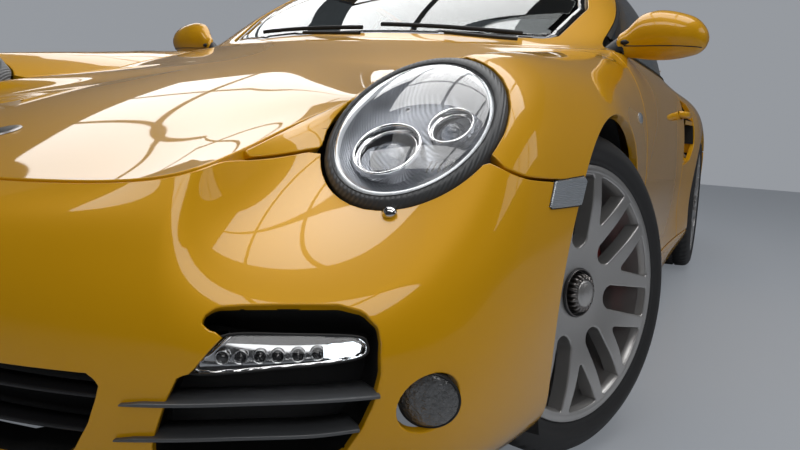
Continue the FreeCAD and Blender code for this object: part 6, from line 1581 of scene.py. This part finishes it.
def meltedSeat(name, blocks):
    # one closed mesh from several rounded blocks
    points, faces, start = [], [], 0
    for centre, half, pitch, power in blocks:
        p, f = roundedBox(centre, half, pitch, power)
        points.append(p)
        faces += [[i + start for i in face] for face in f]
        start += len(p)
    mesh = bpy.data.meshes.new(name + "Blocks")
    mesh.from_pydata(np.concatenate(points).tolist(), [], faces)
    block = bpy.data.objects.new(name + "Blocks", mesh)
    bpy.context.scene.collection.objects.link(block)
    melt = block.modifiers.new("melt", "REMESH")
    melt.mode, melt.voxel_size = "VOXEL", seat["voxel"]
    smooth = block.modifiers.new("smooth", "SMOOTH")
    smooth.factor, smooth.iterations = 0.5, 4
    bpy.context.view_layer.update()
    melted = bpy.data.meshes.new_from_object(block.evaluated_get(bpy.context.evaluated_depsgraph_get()))
    bpy.data.objects.remove(block)
    before = np.zeros(len(melted.vertices) * 3)
    melted.vertices.foreach_get("co", before)
    after = before.copy()
    pad = bpy.data.objects.new(name + "Pad", melted)
    bpy.context.scene.collection.objects.link(pad)
    cloth = pad.modifiers.new("puff", "CLOTH")
    cloth.settings.use_pressure, cloth.settings.uniform_pressure_force = True, seat["pressure"]
    cloth.settings.effector_weights.gravity = 0.0
    cloth.settings.quality = 4
    cloth.point_cache.frame_start, cloth.point_cache.frame_end = 1, 20
    for number in range(1, 21):
        bpy.context.scene.frame_set(number)
    puffed = pad.evaluated_get(bpy.context.evaluated_depsgraph_get()).to_mesh()
    puffed.vertices.foreach_get("co", after)
    bpy.context.scene.frame_set(1)
    bpy.data.objects.remove(pad)
    move = (after - before).reshape(-1, 3)
    length = np.linalg.norm(move, axis=1, keepdims=True)
    settled = before.reshape(-1, 3) + move * np.minimum(1, seat["cap"] / np.maximum(length, 1e-9))
    return settled, [tuple(polygon.vertices) for polygon in melted.polygons]


frontBlocks = [((0.150, 0, 0.350), (0.245, 0.155, 0.055), -4, 0.40),
               ((0.150, 0.195, 0.368), (0.235, 0.036, 0.068), -4, 0.45),
               ((0.150, -0.195, 0.368), (0.235, 0.036, 0.068), -4, 0.45),
               ((0.010, 0, 0.250), (0.240, 0.200, 0.070), 0, 0.3),
               ((-0.175, 0, 0.620), (0.055, 0.150, 0.280), -14, 0.42),
               ((-0.150, 0.188, 0.600), (0.072, 0.040, 0.255), -14, 0.45),
               ((-0.150, -0.188, 0.600), (0.072, 0.040, 0.255), -14, 0.45),
               ((-0.243, 0, 0.880), (0.048, 0.165, 0.085), -14, 0.5),
               ((-0.262, 0, 0.985), (0.042, 0.115, 0.095), -12, 0.5)]
rearBlocks = [((-0.520, 0, 0.355), (0.110, 0.190, 0.060), 6, 0.4), ((-0.615, 0, 0.590), (0.038, 0.190, 0.190), -8, 0.4)]
for label, blocks in (("frontSeat", frontBlocks), ("rearSeat", rearBlocks)):
    settled, faces = meltedSeat(label, blocks)
    settled = settled + arr(0, 0.370, 0)
    made = addPair(label, bodyName, "seat_leather", settled, faces, leather,
                   replaces=["seats"] if label == "frontSeat" else ())
    for piece in made:
        fine = piece.modifiers.new("fine", "SUBSURF")
        fine.levels = fine.render_levels = 1
print("seats made")

# rear: raised wing, lid grille, tail pipes and number plate place
wing = {"front": -1.690, "chord": 0.258, "z": 1.062, "half": 0.598}
share = np.linspace(0, 1, 22)
upper = 0.014 + 0.030 * np.sqrt(share) * (1 - share) + 0.026 * share ** 2
lower = 0.012 - 0.016 * np.sqrt(share) * (1 - share) + 0.028 * share ** 2 - 0.0045 * share
across = np.linspace(-1, 1, 61)
tip = np.sqrt(np.clip(1 - np.abs(across) ** 14, 0.0, 1))
loop = np.concatenate([np.stack([share, upper], -1), np.stack([share, lower], -1)[-2:0:-1]])
middle = 0.5 * (np.interp(loop[:, 0], share, upper) + np.interp(loop[:, 0], share, lower))
along = 0.5 + (loop[:, 0] - 0.5)[None, :] * (0.55 + 0.45 * tip[:, None])
height = wing["z"] + middle[None, :] + (loop[:, 1] - middle)[None, :] * tip[:, None] - 0.012 * across[:, None] ** 2
points = np.stack(np.broadcast_arrays(wing["front"] - wing["chord"] * along, wing["half"] * across[:, None], height), -1)
addPiece("rearWing", "engine_lid", "paint", points, gridFaces(61, len(loop), closedColumns=True), paint,
         replaces=["rear_wing"])
for side in (-1, 1):
    path = np.stack([np.linspace(-1.800, -1.812, 14), np.full(14, side * 0.260), np.linspace(0.800, 1.072, 14)], -1)
    addTube("wingPost%s" % ("Left" if side > 0 else "Right"), "engine_lid", "trim_black", path, 0.019, trimBlack, False,
            count=24,
            squash=(0.75, 2.7), up=(1, 0, 0))
for number in range(11):
    where = 9.78 + number * 0.085
    path, normal = onSheet(top, np.full(40, where), np.linspace(2.55, 5.45, 40))
    addTube("lidSlat%d" % number, "engine_lid", "trim_black", path + 0.001 * normal, 0.0048, trimBlack, False, count=8,
            squash=(1.0, 0.7))
# near-black sheet behind the slats: painted shade of the space under the lid
s, t = lines(9.70, 10.72, 40, 2.45, 5.55, 60)
grid, normal = onSheet(top, *np.broadcast_arrays(s, t))
addPiece("lidGrilleBack", "engine_lid", "trim_black", (grid + 0.0012 * normal), gridFaces(40, 60), blackAndPaintedShade)
rearward = (arr(0, -1, 0), arr(0, 0, 1), arr(-1, 0, 0))
pipe = [(0.0350, -0.145), (0.0365, -0.010), (0.0372, 0.012), (0.0392, 0.0190), (0.0412, 0.012), (0.0420, 0.0),
        (0.0420, -0.180)]
for label, y in (("Left490", 0.490), ("Left590", 0.590), ("Right490", -0.490), ("Right590", -0.590)):
    axes = (arr(-2.155, y, 0.262), *rearward)
    addTurned("tailPipe" + label, bodyName, "tip_steel", pipe, axes, chrome, 64,
              replaces=["exhaust_tips"] if label == "Left490" else ())
    # each pipe is closed by a near-black disc inside: painted shade
    addTurned("pipeEnd" + label, bodyName, "tip_steel", [(0.0350, -0.144), (0.0005, -0.144)], axes, blackAndPaintedShade)
for way, side in ((1, "Left"), (-1, "Right")):
    addBox("silencer" + side, "tip_steel", (-1.910, way * 0.506, 0.272), (0.052, 0.142, 0.057), castAlloy, 0, 0.3)
plateY, plateZ = np.meshgrid(np.linspace(0.265, -0.265, 40), np.linspace(0.425, 0.555, 14), indexing="ij")
plateX = readAt(onSheet(band, *lines(22.6, 25.4, 121, 2.2, 4.6, 81))[0], (1, 2), 0, plateY, plateZ)
addPiece("platePlace", bodyName, "trim_black", np.stack([plateX - 0.0012, plateY, plateZ], -1), gridFaces(40, 14),
         trimBlack)
screw = {"y": 0.105, "z": 0.490, "radius": 0.0030}
# screw holes drawn as near-black discs: painted shade
for way, side in ((1, "Left"), (-1, "Right")):
    column = np.argmin(np.abs(plateY[:, 0] - way * screw["y"]))
    axes = (arr(plateX[column, 7] - 0.0014, way * screw["y"], screw["z"]), *rearward)
    addTurned("plateHole" + side, bodyName, "trim_black", [(screw["radius"], 0.0), (0.0001, -0.0003)], axes, blackAndPaintedShade,
              24)

# finishes of the CAD nodes that stay in view
for node, material in (("floor_pan", carpet), ("luggage_tub", carpet), ("engine_block", castAlloy),
                       ("suspension", blackSteel),
                       ("knuckle_left", blackSteel), ("knuckle_right", blackSteel)):
    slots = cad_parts[node].data.materials
    slots.clear()
    slots.append(material)
print("rear made")
